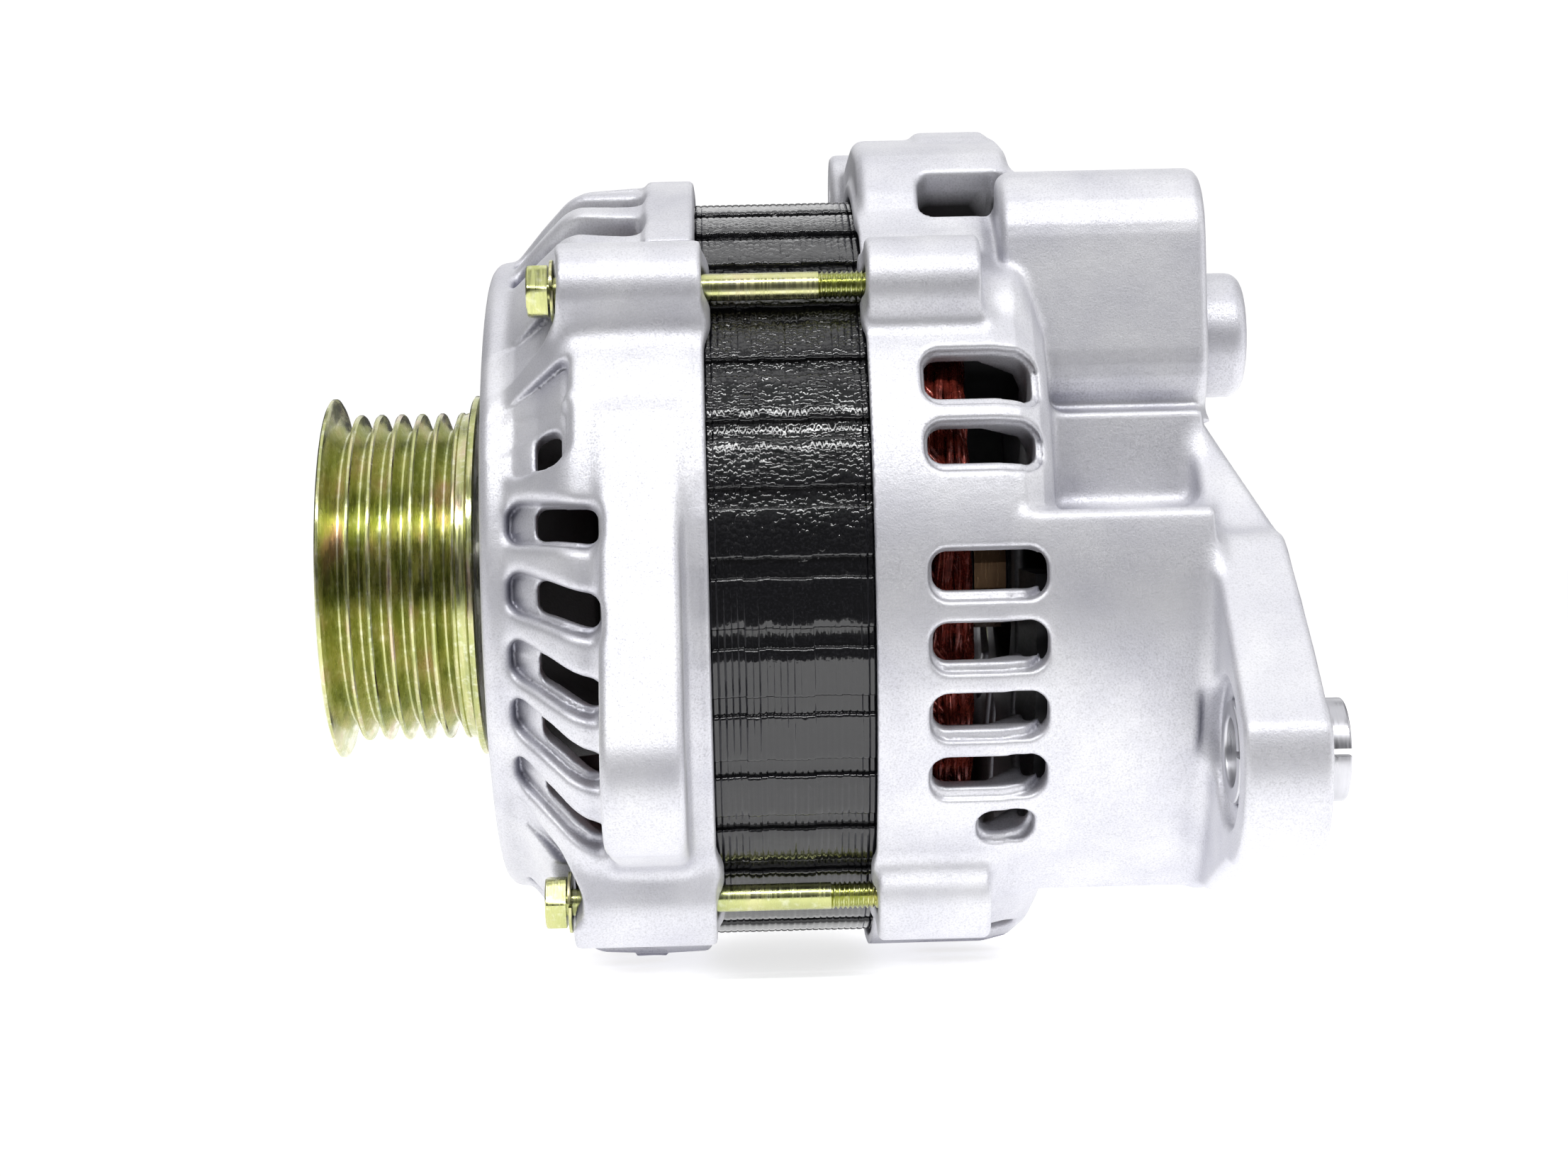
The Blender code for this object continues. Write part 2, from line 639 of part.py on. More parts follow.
def make_front_bracket():
    """The front bracket: bell with louvre vents, bearing hub, bolt bosses, pivot ear and a small tab."""
    outer = [
        (FRONT_FACE, 14.5 * MM),
        (FRONT_FACE, 53.0 * MM),
        (28.3 * MM, 54.2 * MM),
        (31.5 * MM, 54.8 * MM),
        (36.5 * MM, 61.3 * MM),
        (42.0 * MM, 66.8 * MM),
        (53.3 * MM, 67.3 * MM),
        (FRONT_RIM_REAR, BRACKET_RADIUS),
    ]
    inner = [
        (31.0 * MM, 14.5 * MM),
        (31.0 * MM, 23.8 * MM),
        (45.3 * MM, 23.8 * MM),
        (45.3 * MM, 32.0 * MM),
        (31.2 * MM, 33.0 * MM),
        (31.2 * MM, 51.0 * MM),
        (40.5 * MM, 62.3 * MM),
        (57.9 * MM, 62.3 * MM),
        (57.9 * MM, SEAT_RADIUS),
        (FRONT_RIM_REAR, SEAT_RADIUS),
    ]
    bracket = turned("front_bracket", outer + inner[::-1], FINE, ALUMINIUM)
    combine(bracket, front_additions(), "UNION")
    combine(bracket, front_removals(), "DIFFERENCE")


def front_additions():
    """Bolt bosses, pivot ear and tab of the front bracket."""
    added = []
    for index, degrees in enumerate(BOLT_ANGLES):
        centre = around(BOLT_CIRCLE, degrees)
        span = (FRONT_BOSS_FACE, FRONT_RIM_REAR - 0.2 * MM)
        added.append(rod(f"front_boss_{index}", span, BOSS_RADIUS, 16, axis=centre))
    ear = [around(63.5 * MM, 25.0), around(66.7 * MM, 24.0)]
    ear += arc(PIVOT, FRONT_EAR_RADIUS, 24.0, -98.0, 9)
    ear += [(-52.0 * MM, -49.0 * MM), around(63.5 * MM, -55.0)]
    ear += [around(63.3 * MM, degrees) for degrees in (-42.0, -30.0, -18.0, -6.0, 6.0, 16.0)]
    added.append(plate("front_ear", [ear], FRONT_EAR_SPAN))
    low = (48.2 * MM, -4.0 * MM, -68.6 * MM)
    high = (55.0 * MM, 4.0 * MM, -64.0 * MM)
    added.append(block("front_tab", low, high))
    return added


def front_removals():
    """Holes, louvre vents and intake windows of the front bracket."""
    cuts = []
    for index, degrees in enumerate(BOLT_ANGLES):
        centre = around(BOLT_CIRCLE, degrees)
        through = (30.0 * MM, 70.0 * MM)
        cuts.append(rod(f"front_bolt_hole_{index}", through, BOLT_HOLE_RADIUS, SMALL, axis=centre))
        face = (28.0 * MM, FRONT_BOSS_FACE)
        cuts.append(rod(f"front_spot_face_{index}", face, SPOT_FACE_RADIUS, 16, axis=centre))
        centre = around(RETAINER_SCREW_CIRCLE, degrees)
        through = (36.0 * MM, 50.0 * MM)
        cuts.append(rod(f"retainer_hole_{index}", through, SCREW_HOLE_RADIUS, SMALL, axis=centre))
    wall_radius = 62.3 * MM + CLEARING
    seat_radius = SEAT_RADIUS + CLEARING
    seat = [
        (40.8 * MM, 52.0 * MM),
        (40.8 * MM, wall_radius),
        (57.9 * MM - CLEARING, wall_radius),
        (57.9 * MM - CLEARING, seat_radius),
        (65.5 * MM, seat_radius),
        (65.5 * MM, 52.0 * MM),
    ]
    cuts.append(turned("front_seat", seat, FINE))
    cuts.append(rod("front_pivot_hole", (40.0 * MM, 66.0 * MM), PIVOT_BOLT_RADIUS, 20, axis=PIVOT))
    near = slot_outline((34.0 * MM, 46.4 * MM), 6.0 * MM, 1.5 * MM, 4.5 * MM)
    other = plain_slot((34.0 * MM, 53.3 * MM), 6.0 * MM, 4.5 * MM)
    radii = (52.0 * MM, 75.0 * MM)
    for degrees in FRONT_NEAR_VENTS:
        cuts.append(radial_plate(f"front_vent_{degrees}", near, radii, degrees))
    for degrees in FRONT_OTHER_VENTS:
        cuts.append(radial_plate(f"front_vent_{degrees}", other, radii, degrees))
    for index in range(WINDOWS):
        centre = 360.0 / WINDOWS * (index + 0.5)
        start = centre - WINDOW_HALF_ANGLE
        end = centre + WINDOW_HALF_ANGLE
        window = arc((0.0, 0.0), WINDOW_RADII[0], start, end, 2)
        window += arc((0.0, 0.0), WINDOW_RADII[1], end, start, 2)
        cuts.append(plate(f"intake_window_{index}", [window], (26.0 * MM, 32.0 * MM)))
    return cuts


def box_outline(inset):
    """The upper housing's section: upright near side, rounded corners, low crown and flat far side."""
    corner = BOX_CORNER - inset
    low_centre = (BOX_NEAR_SIDE + BOX_CORNER, BOX_FLOOR + BOX_CORNER)
    high_centre = (BOX_NEAR_SIDE + BOX_CORNER, BOX_SHOULDER)
    side = BOX_FAR_SIDE - inset
    points = arc(low_centre, corner, -90.0, 0.0, 5)
    points += arc(high_centre, corner, 0.0, 78.0, 5)
    points += [(y, z - inset) for y, z in BOX_CROWN]
    points += [(side, BOX_CROWN_END - inset), (side, BOX_FLOOR + inset)]
    return points


def foot_outline(inset):
    """The lower foot's section: a sector of the bell on the near side, down to a flat base."""
    radius = BELL_RADIUS - 0.7 * MM - inset
    top = 8.0 * MM - inset
    base = -54.0 * MM + inset
    side = 6.0 * MM - inset
    start = math.degrees(math.asin(top / radius))
    end = math.degrees(math.asin(base / radius))
    return arc((0.0, 0.0), radius, start, end, 9) + [(side, base), (side, top)]


def rear_ear_outline():
    """The rear pivot arm and the wall that carries it, in (Y, Z)."""
    outline = [(-59.0 * MM, 4.0 * MM), (-62.0 * MM, 3.0 * MM)]
    outline += arc(PIVOT, REAR_EAR_RADIUS, 16.0, -98.0, 9)
    outline += [(-46.0 * MM, -54.0 * MM), (-14.0 * MM, -54.0 * MM), (16.0 * MM, -26.0 * MM)]
    outline += [(26.0 * MM, 0.0), (26.0 * MM, 22.2 * MM), (-44.0 * MM, 22.2 * MM)]
    return outline


def rear_additions():
    """Everything that is joined to the rear bracket's turned bell."""
    added = [
        plate("rear_foot", [foot_outline(0.0)], (112.0 * MM, FOOT_REAR + 0.5 * MM)),
        plate("rear_box", [box_outline(0.0)], (112.0 * MM, BOX_REAR)),
        rod("rear_hub", (112.0 * MM, 144.0 * MM), 25.0 * MM, 28),
        block("rear_wall", (112.0 * MM, -47.0 * MM, -20.0 * MM), (144.0 * MM, 20.0 * MM, 24.0 * MM)),
        plate("rear_ear", [rear_ear_outline()], (FOOT_REAR, EAR_REAR)),
        rod("lug_boss", LUG_SPAN, LUG_RADIUS, 20, axis=LUG),
    ]
    dome = [
        (BOX_REAR - 2.6 * MM, 0.0),
        (BOX_REAR - 2.6 * MM, DOME_RADIUS),
        (DOME_REAR - 2.0 * MM, DOME_RADIUS),
        (DOME_REAR - 0.5 * MM, DOME_RADIUS - 1.0 * MM),
        (DOME_REAR, DOME_RADIUS - 2.6 * MM),
        (DOME_REAR, 0.0),
    ]
    added.append(turned("rear_dome", dome, 24, axis=DOME))
    pad = [
        (-36.0 * MM, 48.0 * MM),
        (-34.0 * MM, 60.0 * MM),
        (-27.0 * MM, 69.5 * MM),
        (-9.0 * MM, 75.4 * MM),
        (18.0 * MM, 75.4 * MM),
        (34.0 * MM, 71.0 * MM),
        (38.0 * MM, 52.0 * MM),
    ]
    added.append(plate("lug_pad", [pad], (REAR_RIM_FRONT + 0.2 * MM, 115.5 * MM)))
    for index, degrees in enumerate(BOLT_ANGLES):
        centre = around(BOLT_CIRCLE, degrees)
        span = (REAR_RIM_FRONT + 0.2 * MM, REAR_BOSS_END)
        added.append(rod(f"rear_boss_{index}", span, BOSS_RADIUS, 16, axis=centre))
    return added


def rear_removals():
    """Chambers, holes and vents of the rear bracket."""
    bell = [
        (86.0 * MM, 0.0),
        (86.0 * MM, SEAT_RADIUS),
        (94.4 * MM, SEAT_RADIUS),
        (94.4 * MM, 62.4 * MM),
        (107.0 * MM, 62.4 * MM),
        (113.0 * MM, 58.0 * MM),
        (115.0 * MM, 52.0 * MM),
        (115.0 * MM, 0.0),
    ]
    hub = [
        (113.0 * MM, 0.0),
        (113.0 * MM, 20.0 * MM),
        (126.7 * MM, 20.0 * MM),
        (126.7 * MM, 17.8 * MM),
        (139.0 * MM, 17.8 * MM),
        (139.0 * MM, 0.0),
    ]
    foot = foot_outline(CASTING_WALL)[:-2]
    foot += [(-12.0 * MM, -50.0 * MM), (-12.0 * MM, -26.0 * MM)]
    foot += [(-24.0 * MM, -16.0 * MM), (-28.5 * MM, 4.0 * MM)]
    box = box_outline(CASTING_WALL)
    notch_low = (NOTCH_SPAN[0], -35.0 * MM, 56.5 * MM)
    notch_high = (NOTCH_SPAN[1], 12.0 * MM, 80.0 * MM)
    counterbore = (141.8 * MM, FOOT_REAR + 1.6 * MM)
    cuts = [
        turned("bell_chamber", bell, FINE),
        turned("hub_chamber", hub, 28),
        plate("foot_chamber", [foot], (113.0 * MM, 138.5 * MM)),
        plate("box_chamber", [box], (113.0 * MM, BOX_REAR - CASTING_WALL)),
        block("brush_well", (106.0 * MM, -9.0 * MM, 8.0 * MM), (126.0 * MM, 9.0 * MM, 30.0 * MM)),
        block("connector_notch", notch_low, notch_high),
        rod("rear_pivot_hole", (140.0 * MM, 165.0 * MM), BUSH_RADIUS + GAP, 24, axis=PIVOT),
        rod("rear_counterbore", counterbore, COUNTERBORE_RADIUS, 24, axis=PIVOT),
        rod("lug_hole", (86.0 * MM, 108.0 * MM), LUG_HOLE_RADIUS, 16, axis=LUG),
        rod("terminal_hole", (112.0 * MM, 125.0 * MM), 6.4 * MM, 16, axis=TERMINAL),
        rear_slope(),
    ]
    for index, degrees in enumerate(BOLT_ANGLES):
        centre = around(BOLT_CIRCLE, degrees)
        depth = (88.0 * MM, 105.0 * MM)
        cuts.append(rod(f"rear_bolt_hole_{index}", depth, BOLT_HOLE_RADIUS, SMALL, axis=centre))
    for index, centre in enumerate(COVER_SCREWS):
        depth = (110.0 * MM, 125.0 * MM)
        cuts.append(rod(f"cover_screw_hole_{index}", depth, SCREW_HOLE_RADIUS, SMALL, axis=centre))
    return cuts + rear_vents()


def rear_slope():
    """What is taken off behind the rear wall, so that its edge leans back from the housing to the ear."""
    outline = [
        (144.6 * MM, 40.0 * MM),
        (144.6 * MM, BOX_FLOOR),
        (154.0 * MM, 3.0 * MM),
        (EAR_REAR, -22.0 * MM),
        (170.0 * MM, -22.0 * MM),
        (170.0 * MM, 40.0 * MM),
    ]
    upright = Matrix.Rotation(math.radians(90.0), 4, "X")
    matrix = Matrix.Translation((0.0, -5.0 * MM, 0.0)) @ upright
    slope = outline_solid("rear_slope", [outline], 200.0 * MM, matrix)
    keep_low = (140.0 * MM, -120.0 * MM, BOX_FLOOR + GAP)
    keep = block("slope_keep", keep_low, (180.0 * MM, 120.0 * MM, 60.0 * MM))
    return combine(slope, [keep], "DIFFERENCE")


def rear_vents():
    """The vents in the rear bracket's wall and in its rear face."""
    cuts = []
    radii = (55.0 * MM, 75.0 * MM)
    long_slot = slot_outline((98.4 * MM, 115.4 * MM), REAR_VENT_WIDTH, 1.8 * MM)
    short_slot = slot_outline((106.0 * MM, 114.0 * MM), 5.4 * MM, 1.8 * MM)
    plain = plain_slot((98.4 * MM, 113.4 * MM), REAR_VENT_WIDTH)
    for degrees in REAR_NEAR_VENTS:
        cuts.append(radial_plate(f"rear_vent_{degrees}", long_slot, radii, degrees))
    for degrees in REAR_OTHER_VENTS:
        cuts.append(radial_plate(f"rear_vent_{degrees}", plain, radii, degrees))
    cuts.append(radial_plate("rear_vent_short", short_slot, radii, REAR_SHORT_VENT))
    cuts.append(radial_plate("rear_vent_top", long_slot, (55.0 * MM, 80.0 * MM), REAR_TOP_VENT))
    half = FACE_VENT_WIDTH / 2
    near, far = FACE_VENT_RADII
    for degrees in FACE_VENTS:
        turn = math.radians(degrees)
        outline = []
        for reach, side in ((near, -half), (far, -half), (far, half), (near, half)):
            y = -reach * math.cos(turn) + side * math.sin(turn)
            z = reach * math.sin(turn) + side * math.cos(turn)
            outline.append((y, z))
        cuts.append(plate(f"face_vent_{degrees}", [outline], (113.0 * MM, 121.0 * MM)))
    return cuts


def make_rear_bracket():
    """The rear bracket: bell, chambers for the electrics, bearing hub, pivot ear and adjuster lug."""
    profile = [
        (REAR_RIM_FRONT, 0.0),
        (REAR_RIM_FRONT, BELL_RADIUS),
        (109.0 * MM, BELL_RADIUS),
        (114.0 * MM, 65.2 * MM),
        (117.6 * MM, 61.5 * MM),
        (REAR_FACE, 56.5 * MM),
        (REAR_FACE, 0.0),
    ]
    bracket = turned("rear_bracket", profile, FINE, ALUMINIUM)
    combine(bracket, rear_additions(), "UNION")
    combine(bracket, rear_removals(), "DIFFERENCE")


def make_through_bolts():
    """The four long bolts that clamp the brackets on the stator, each with a washer."""
    for index, degrees in enumerate(BOLT_ANGLES):
        centre = around(BOLT_CIRCLE, degrees)
        outline = shifted(hexagon(SCREW_ACROSS_FLATS), centre)
        head = plate(f"through_bolt_{index + 1}", [outline], BOLT_HEAD_SPAN, CHROMATE)
        span = (BOLT_HEAD_SPAN[1] - 0.5 * MM, BOLT_TIP)
        shank = rod(f"shank_{index}", span, BOLT_RADIUS, SMALL, axis=centre)
        combine(head, [shank], "UNION")
        inner, outer = BOLT_WASHER_RADII
        ring(f"bolt_washer_{index + 1}", BOLT_WASHER_SPAN, inner, outer, 16, CHROMATE, centre)


def make_bearing_retainer():
    """The plate that holds the front bearing, and its four screws."""
    inner, outer = RETAINER_RADII
    plate_ring = ring("bearing_retainer", RETAINER_SPAN, inner, outer, 28, CHROMATE)
    holes = []
    for index, degrees in enumerate(BOLT_ANGLES):
        centre = around(RETAINER_SCREW_CIRCLE, degrees)
        through = (44.0 * MM, 49.0 * MM)
        holes.append(rod(f"plate_hole_{index}", through, SCREW_HOLE_RADIUS, SMALL, axis=centre))
        profile = [
            (37.0 * MM, 0.0),
            (37.0 * MM, SCREW_RADIUS),
            (47.4 * MM, SCREW_RADIUS),
            (47.4 * MM, 4.0 * MM),
            (49.6 * MM, 3.4 * MM),
            (49.6 * MM, 0.0),
        ]
        turned(f"retainer_screw_{index + 1}", profile, SMALL, CHROMATE, centre)
    combine(plate_ring, holes, "DIFFERENCE")


def make_pivot_bush():
    """The split steel bush in the rear pivot ear."""
    bush = ring("pivot_bush", BUSH_SPAN, PIVOT_BOLT_RADIUS, BUSH_RADIUS, 24, SINTERED, PIVOT)
    slit_low = (BUSH_SPAN[0] - 1.0 * MM, PIVOT[0] - 10.0 * MM, PIVOT[1] - 0.5 * MM)
    slit_high = (BUSH_SPAN[1] + 1.0 * MM, PIVOT[0] - 3.0 * MM, PIVOT[1] + 0.5 * MM)
    combine(bush, [block("bush_slit", slit_low, slit_high)], "DIFFERENCE")


def heat_sink(name, span, diode_span, tag):
    """A rectifier plate, a sector about the shaft, with three diodes standing in it."""
    sector = arc((0.0, 0.0), SINK_RADII[1], SINK_ANGLES[0], SINK_ANGLES[1], 6)
    sector += arc((0.0, 0.0), SINK_RADII[0], SINK_ANGLES[1], SINK_ANGLES[0], 4)
    sink = plate(name, [sector], span, ALUMINIUM)
    holes = []
    for index, degrees in enumerate(DIODE_ANGLES):
        centre = around(DIODE_CIRCLE, degrees)
        through = (110.0 * MM, 140.0 * MM)
        holes.append(rod(f"{tag}_diode_hole_{index}", through, DIODE_RADIUS + GAP, 16, axis=centre))
        rod(f"{tag}_diode_{index + 1}", diode_span, DIODE_RADIUS, SMALL, STEEL, centre)
    combine(sink, holes, "DIFFERENCE")


def make_rectifier():
    """Two heat sinks with six diodes, and the block that carries the leads."""
    heat_sink("negative_heat_sink", NEGATIVE_SINK_SPAN, NEGATIVE_DIODE_SPAN, "negative")
    heat_sink("positive_heat_sink", POSITIVE_SINK_SPAN, POSITIVE_DIODE_SPAN, "positive")
    inner, outer = TERMINAL_BLOCK_RADII
    start, end = SINK_ANGLES[0], SINK_ANGLES[1] + 4.0
    sector = arc((0.0, 0.0), outer, start, end, 6) + arc((0.0, 0.0), inner, end, start, 4)
    plate("rectifier_terminal_block", [sector], TERMINAL_BLOCK_SPAN, BLACK_PLASTIC)


def make_battery_terminal():
    """The output stud, its insulator and its nut, on the rear face's far side."""
    start, end = STUD_SPAN
    profile = [
        (start, 0.0),
        (start, STUD_RADIUS),
        (end - 0.5 * MM, STUD_RADIUS),
        (end, STUD_RADIUS - 0.5 * MM),
        (end, 0.0),
    ]
    turned("battery_stud", profile, 16, CHROMATE, TERMINAL)
    collar = [
        (117.0 * MM, 4.3 * MM),
        (117.0 * MM, 6.1 * MM),
        (119.3 * MM, 6.1 * MM),
        (119.3 * MM, 10.5 * MM),
        (125.0 * MM, 10.5 * MM),
        (125.0 * MM, 4.3 * MM),
    ]
    turned("battery_insulator", collar, 20, BLACK_PLASTIC, TERMINAL)
    outline = shifted(hexagon(BATTERY_NUT_ACROSS_FLATS), TERMINAL)
    nut = plate("battery_nut", [outline], BATTERY_NUT_SPAN, CHROMATE)
    through = (124.0 * MM, 133.0 * MM)
    bore = rod("battery_nut_bore", through, STUD_RADIUS + GAP, 16, axis=TERMINAL)
    combine(nut, [bore], "DIFFERENCE")


def make_cover_screws():
    """Three hexagon screws on the rear face."""
    head_span = (REAR_FACE + GAP, REAR_FACE + 4.0 * MM)
    shank_span = (115.4 * MM, 120.0 * MM)
    for index, centre in enumerate(COVER_SCREWS):
        outline = shifted(hexagon(SCREW_ACROSS_FLATS), centre)
        head = plate(f"rear_screw_{index + 1}", [outline], head_span, CHROMATE)
        shank = rod(f"rear_screw_shank_{index}", shank_span, SCREW_RADIUS, SMALL, axis=centre)
        combine(head, [shank], "UNION")


def make_brushes():
    """The brush holder, and two sprung brushes that press on the slip rings."""
    holder_low = (108.0 * MM, -7.5 * MM, 14.0 * MM)
    holder_high = (125.2 * MM, 7.5 * MM, 44.0 * MM)
    holder = block("brush_holder", holder_low, holder_high, BLACK_PLASTIC)
    channels = []
    length, width, height = BRUSH_SIZE
    for name, span in zip(("front_brush", "rear_brush"), RING_SPANS):
        middle = sum(span) / 2
        foot = RING_RADIUS + GAP
        low = (middle - length / 2, -width / 2, foot)
        high = (middle + length / 2, width / 2, foot + height)
        block(name, low, high, CARBON)
        room_low = (low[0] - GAP, low[1] - GAP, holder_low[2] - 1.0 * MM)
        room_high = (high[0] + GAP, high[1] + GAP, BRUSH_CHANNEL_TOP)
        channels.append(block(f"{name}_channel", room_low, room_high))
        spring_foot = foot + height + GAP + SPRING_WIRE
        spring_top = BRUSH_CHANNEL_TOP - GAP - SPRING_WIRE
        brush_spring(f"{name}_spring", middle, spring_foot, spring_top)
    combine(holder, channels, "DIFFERENCE")


def brush_spring(name, middle, low, high):
    """A coil spring standing on a brush."""
    curve = bpy.data.curves.new(name, "CURVE")
    curve.dimensions = "3D"
    curve.bevel_depth = SPRING_WIRE
    curve.bevel_resolution = 0
    curve.use_fill_caps = True
    spline = curve.splines.new("POLY")
    steps = SPRING_TURNS * TINY
    spline.points.add(steps)
    for step, point in enumerate(spline.points):
        turn = 2.0 * math.pi * step / TINY
        z = low + (high - low) * step / steps
        point.co = (middle + SPRING_RADIUS * math.cos(turn), SPRING_RADIUS * math.sin(turn), z, 1.0)
    obj = bpy.data.objects.new(name, curve)
    place(obj, STEEL)


def make_regulator():
    """The voltage regulator in the upper housing, and the connector socket under the notch."""
    low = (126.0 * MM, -36.0 * MM, 28.0 * MM)
    high = (141.0 * MM, 8.0 * MM, 46.0 * MM)
    regulator = block("voltage_regulator", low, high, BLACK_PLASTIC)
    fins = 5
    slots = []
    for index in range(fins):
        start = low[1] + (high[1] - low[1]) * (index + 0.6) / (fins + 0.3)
        slot_low = (low[0] - 1.0 * MM, start, low[2] - 1.0 * MM)
        slot_high = (low[0] + 7.0 * MM, start + 3.0 * MM, high[2] - 6.0 * MM)
        slots.append(block(f"regulator_slot_{index}", slot_low, slot_high))
    combine(regulator, slots, "DIFFERENCE")
    socket_low = (134.2 * MM, -24.0 * MM, 47.0 * MM)
    socket_high = (140.9 * MM, 4.0 * MM, 59.0 * MM)
    socket = block("connector_socket", socket_low, socket_high, BLACK_PLASTIC)
    wall = 1.2 * MM
    mouth_low = (socket_low[0] + wall, socket_low[1] + wall, 50.0 * MM)
    mouth_high = (socket_high[0] - wall, socket_high[1] - wall, 62.0 * MM)
    combine(socket, [block("connector_mouth", mouth_low, mouth_high)], "DIFFERENCE")


def main():
    """Make every piece."""
    make_pulley()
    make_shaft()
    make_pulley_fixings()
    claw_pole("front_claw_pole", 1, 0.0)
    claw_pole("rear_claw_pole", -1, 30.0)
    make_field()
    fan("front_fan", FRONT_FAN[0], FRONT_FAN[1], FRONT_FAN[2], BLADE_LEAN)
    fan("rear_fan", REAR_FAN[0], REAR_FAN[1], REAR_FAN[2], BLADE_LEAN)
    make_slip_rings()
    bearing("front_bearing", FRONT_BEARING, FRONT_BEARING_RADII, FRONT_BALL_RADIUS, BALLS)
    bearing("rear_bearing", REAR_BEARING, REAR_BEARING_RADII, REAR_BALL_RADIUS, BALLS)
    make_stator()
    make_front_bracket()
    make_rear_bracket()
    make_through_bolts()
    make_bearing_retainer()
    make_pivot_bush()
    make_rectifier()
    make_battery_terminal()
    make_cover_screws()
    make_brushes()
    make_regulator()
    for obj in PARTS.objects:
        if obj.type == "MESH":
            shade(obj)


main()
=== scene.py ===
"""Looks of the car alternator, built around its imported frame.

Shapes are worked out in millimetres and scaled to metres when they become meshes. +X runs along the shaft from
its flat front end, the near side, with the pivot ears, is -Y, and +Z is up. Angles about the shaft are in
degrees from the near side, positive upwards.
"""

import math

import bmesh
import bpy
import numpy as np
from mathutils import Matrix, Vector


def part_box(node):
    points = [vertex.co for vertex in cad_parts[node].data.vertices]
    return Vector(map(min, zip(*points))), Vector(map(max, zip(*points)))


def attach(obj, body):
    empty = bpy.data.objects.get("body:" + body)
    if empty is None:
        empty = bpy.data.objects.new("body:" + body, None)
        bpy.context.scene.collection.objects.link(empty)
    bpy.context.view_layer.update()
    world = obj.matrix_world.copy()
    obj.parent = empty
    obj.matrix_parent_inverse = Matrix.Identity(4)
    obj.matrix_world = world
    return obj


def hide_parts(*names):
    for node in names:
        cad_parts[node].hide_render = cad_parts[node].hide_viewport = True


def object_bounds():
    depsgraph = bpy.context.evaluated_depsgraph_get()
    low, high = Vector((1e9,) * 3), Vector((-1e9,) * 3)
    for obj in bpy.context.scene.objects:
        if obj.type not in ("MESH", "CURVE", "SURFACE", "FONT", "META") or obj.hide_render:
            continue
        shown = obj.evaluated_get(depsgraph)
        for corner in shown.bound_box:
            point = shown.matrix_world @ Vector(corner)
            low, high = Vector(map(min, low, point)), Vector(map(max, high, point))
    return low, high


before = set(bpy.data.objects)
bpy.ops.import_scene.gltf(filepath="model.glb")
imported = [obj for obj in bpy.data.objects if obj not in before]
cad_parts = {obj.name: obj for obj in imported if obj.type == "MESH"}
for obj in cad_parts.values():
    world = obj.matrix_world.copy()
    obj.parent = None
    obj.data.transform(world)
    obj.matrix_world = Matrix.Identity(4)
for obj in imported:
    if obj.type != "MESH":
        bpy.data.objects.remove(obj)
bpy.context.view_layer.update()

import openvdb
from mathutils import Matrix, Vector

MM = 0.001
RANDOM = np.random.default_rng(7)


def span_of(node, axis=0):
    """A CAD node's lowest and highest place along an axis, in millimetres."""
    low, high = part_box(node)
    return low[axis] / MM, high[axis] / MM


PULLEY_SPAN = span_of("pulley")
STATOR_SPAN = span_of("stator_core")
STATOR_RADIUS = span_of("stator_core", 2)[1]
SHAFT_SPAN = span_of("rotor_shaft")
BUSH_SPAN = span_of("pivot_bush")

# Camera.
CAMERA_PLACE = (67.0, -517.0, 0.0)
CAMERA_AIM = (76.6, 0.0, -3.6)
CAMERA_ROLL = -1.4
CAMERA_LENS = 67.0

# The near edge of the table top, how far it reaches elsewhere, and its gap under the object, in metres.
TABLE_EDGE = -0.17
TABLE_REACH = 9.0
TABLE_GAP = 0.0002

# Castings.
VOXEL = 0.55
FAR_OFF = 4.0
CASTING_FACES = 190_000
BOLT_CIRCLE = 67.3
BOLT_ANGLES = (42.0, -53.0, 132.0, 218.0)
BOSS_RADIUS = 7.5
RETAINER_CIRCLE = 27.5
PIVOT = (-70.0, -30.0)
LUG = (31.0, 66.0)
DOME = (-18.0, 38.0)
TERMINAL = (38.0, -12.0)
COVER_SCREWS = ((48.0, 10.0), (20.0, -43.0), (37.0, 34.0))

# The stator core: its slots, its bore, the bottoms of its slots, and how thick each drawn sheet is.
SLOTS = 36
CORE_BORE = 46.8
SLOT_BOTTOM = 58.0
SHEET = 1.1

# Pulley radii: flanges, ridges and groove bottoms; grooves, their pitch, and where the first ridge stands.
FLANGE = 31.6
RIDGE = 28.7
GROOVE_BOTTOM = 25.7
GROOVES = 6
GROOVE_PITCH = 3.56
FIRST_RIDGE = -0.6

# Vents of the front bracket: (angle, slant) on the near side, and the angles of the rest.
FRONT_VENTS = ((7.0, 1.2), (-4.6, 1.9), (-16.0, 2.6), (-26.5, 3.4), (-38.0, 4.2))
FRONT_OTHER_VENTS = (60.5, 71.0, 81.5, 92.0, 102.5, 151.0, 161.5, 172.0)
FRONT_OTHER_VENTS += (182.5, 193.0, 241.0, 252.0, 263.0, 274.0, 285.0)

# Vents of the rear bracket: (angle, width) on the near side, a short one, a top one, and the rest.
REAR_VENTS = ((27.0, 7.8), (16.7, 6.1), (-1.0, 6.1), (-11.0, 6.1), (-21.0, 6.1), (-30.6, 6.1))
REAR_SHORT_VENT = -39.6
REAR_TOP_VENT = 62.4
REAR_OTHER_VENTS = (152.0, 162.0, 172.0, 182.0, 192.0, 202.0, 236.0, 247.0, 258.0, 269.0, 280.0, 291.0)
REAR_FACE_VENTS = (164.0, 178.0, 206.0, 220.0, 234.0)
REAR_RIBS = (171.0, 192.0, 213.0, 227.0, 246.0)


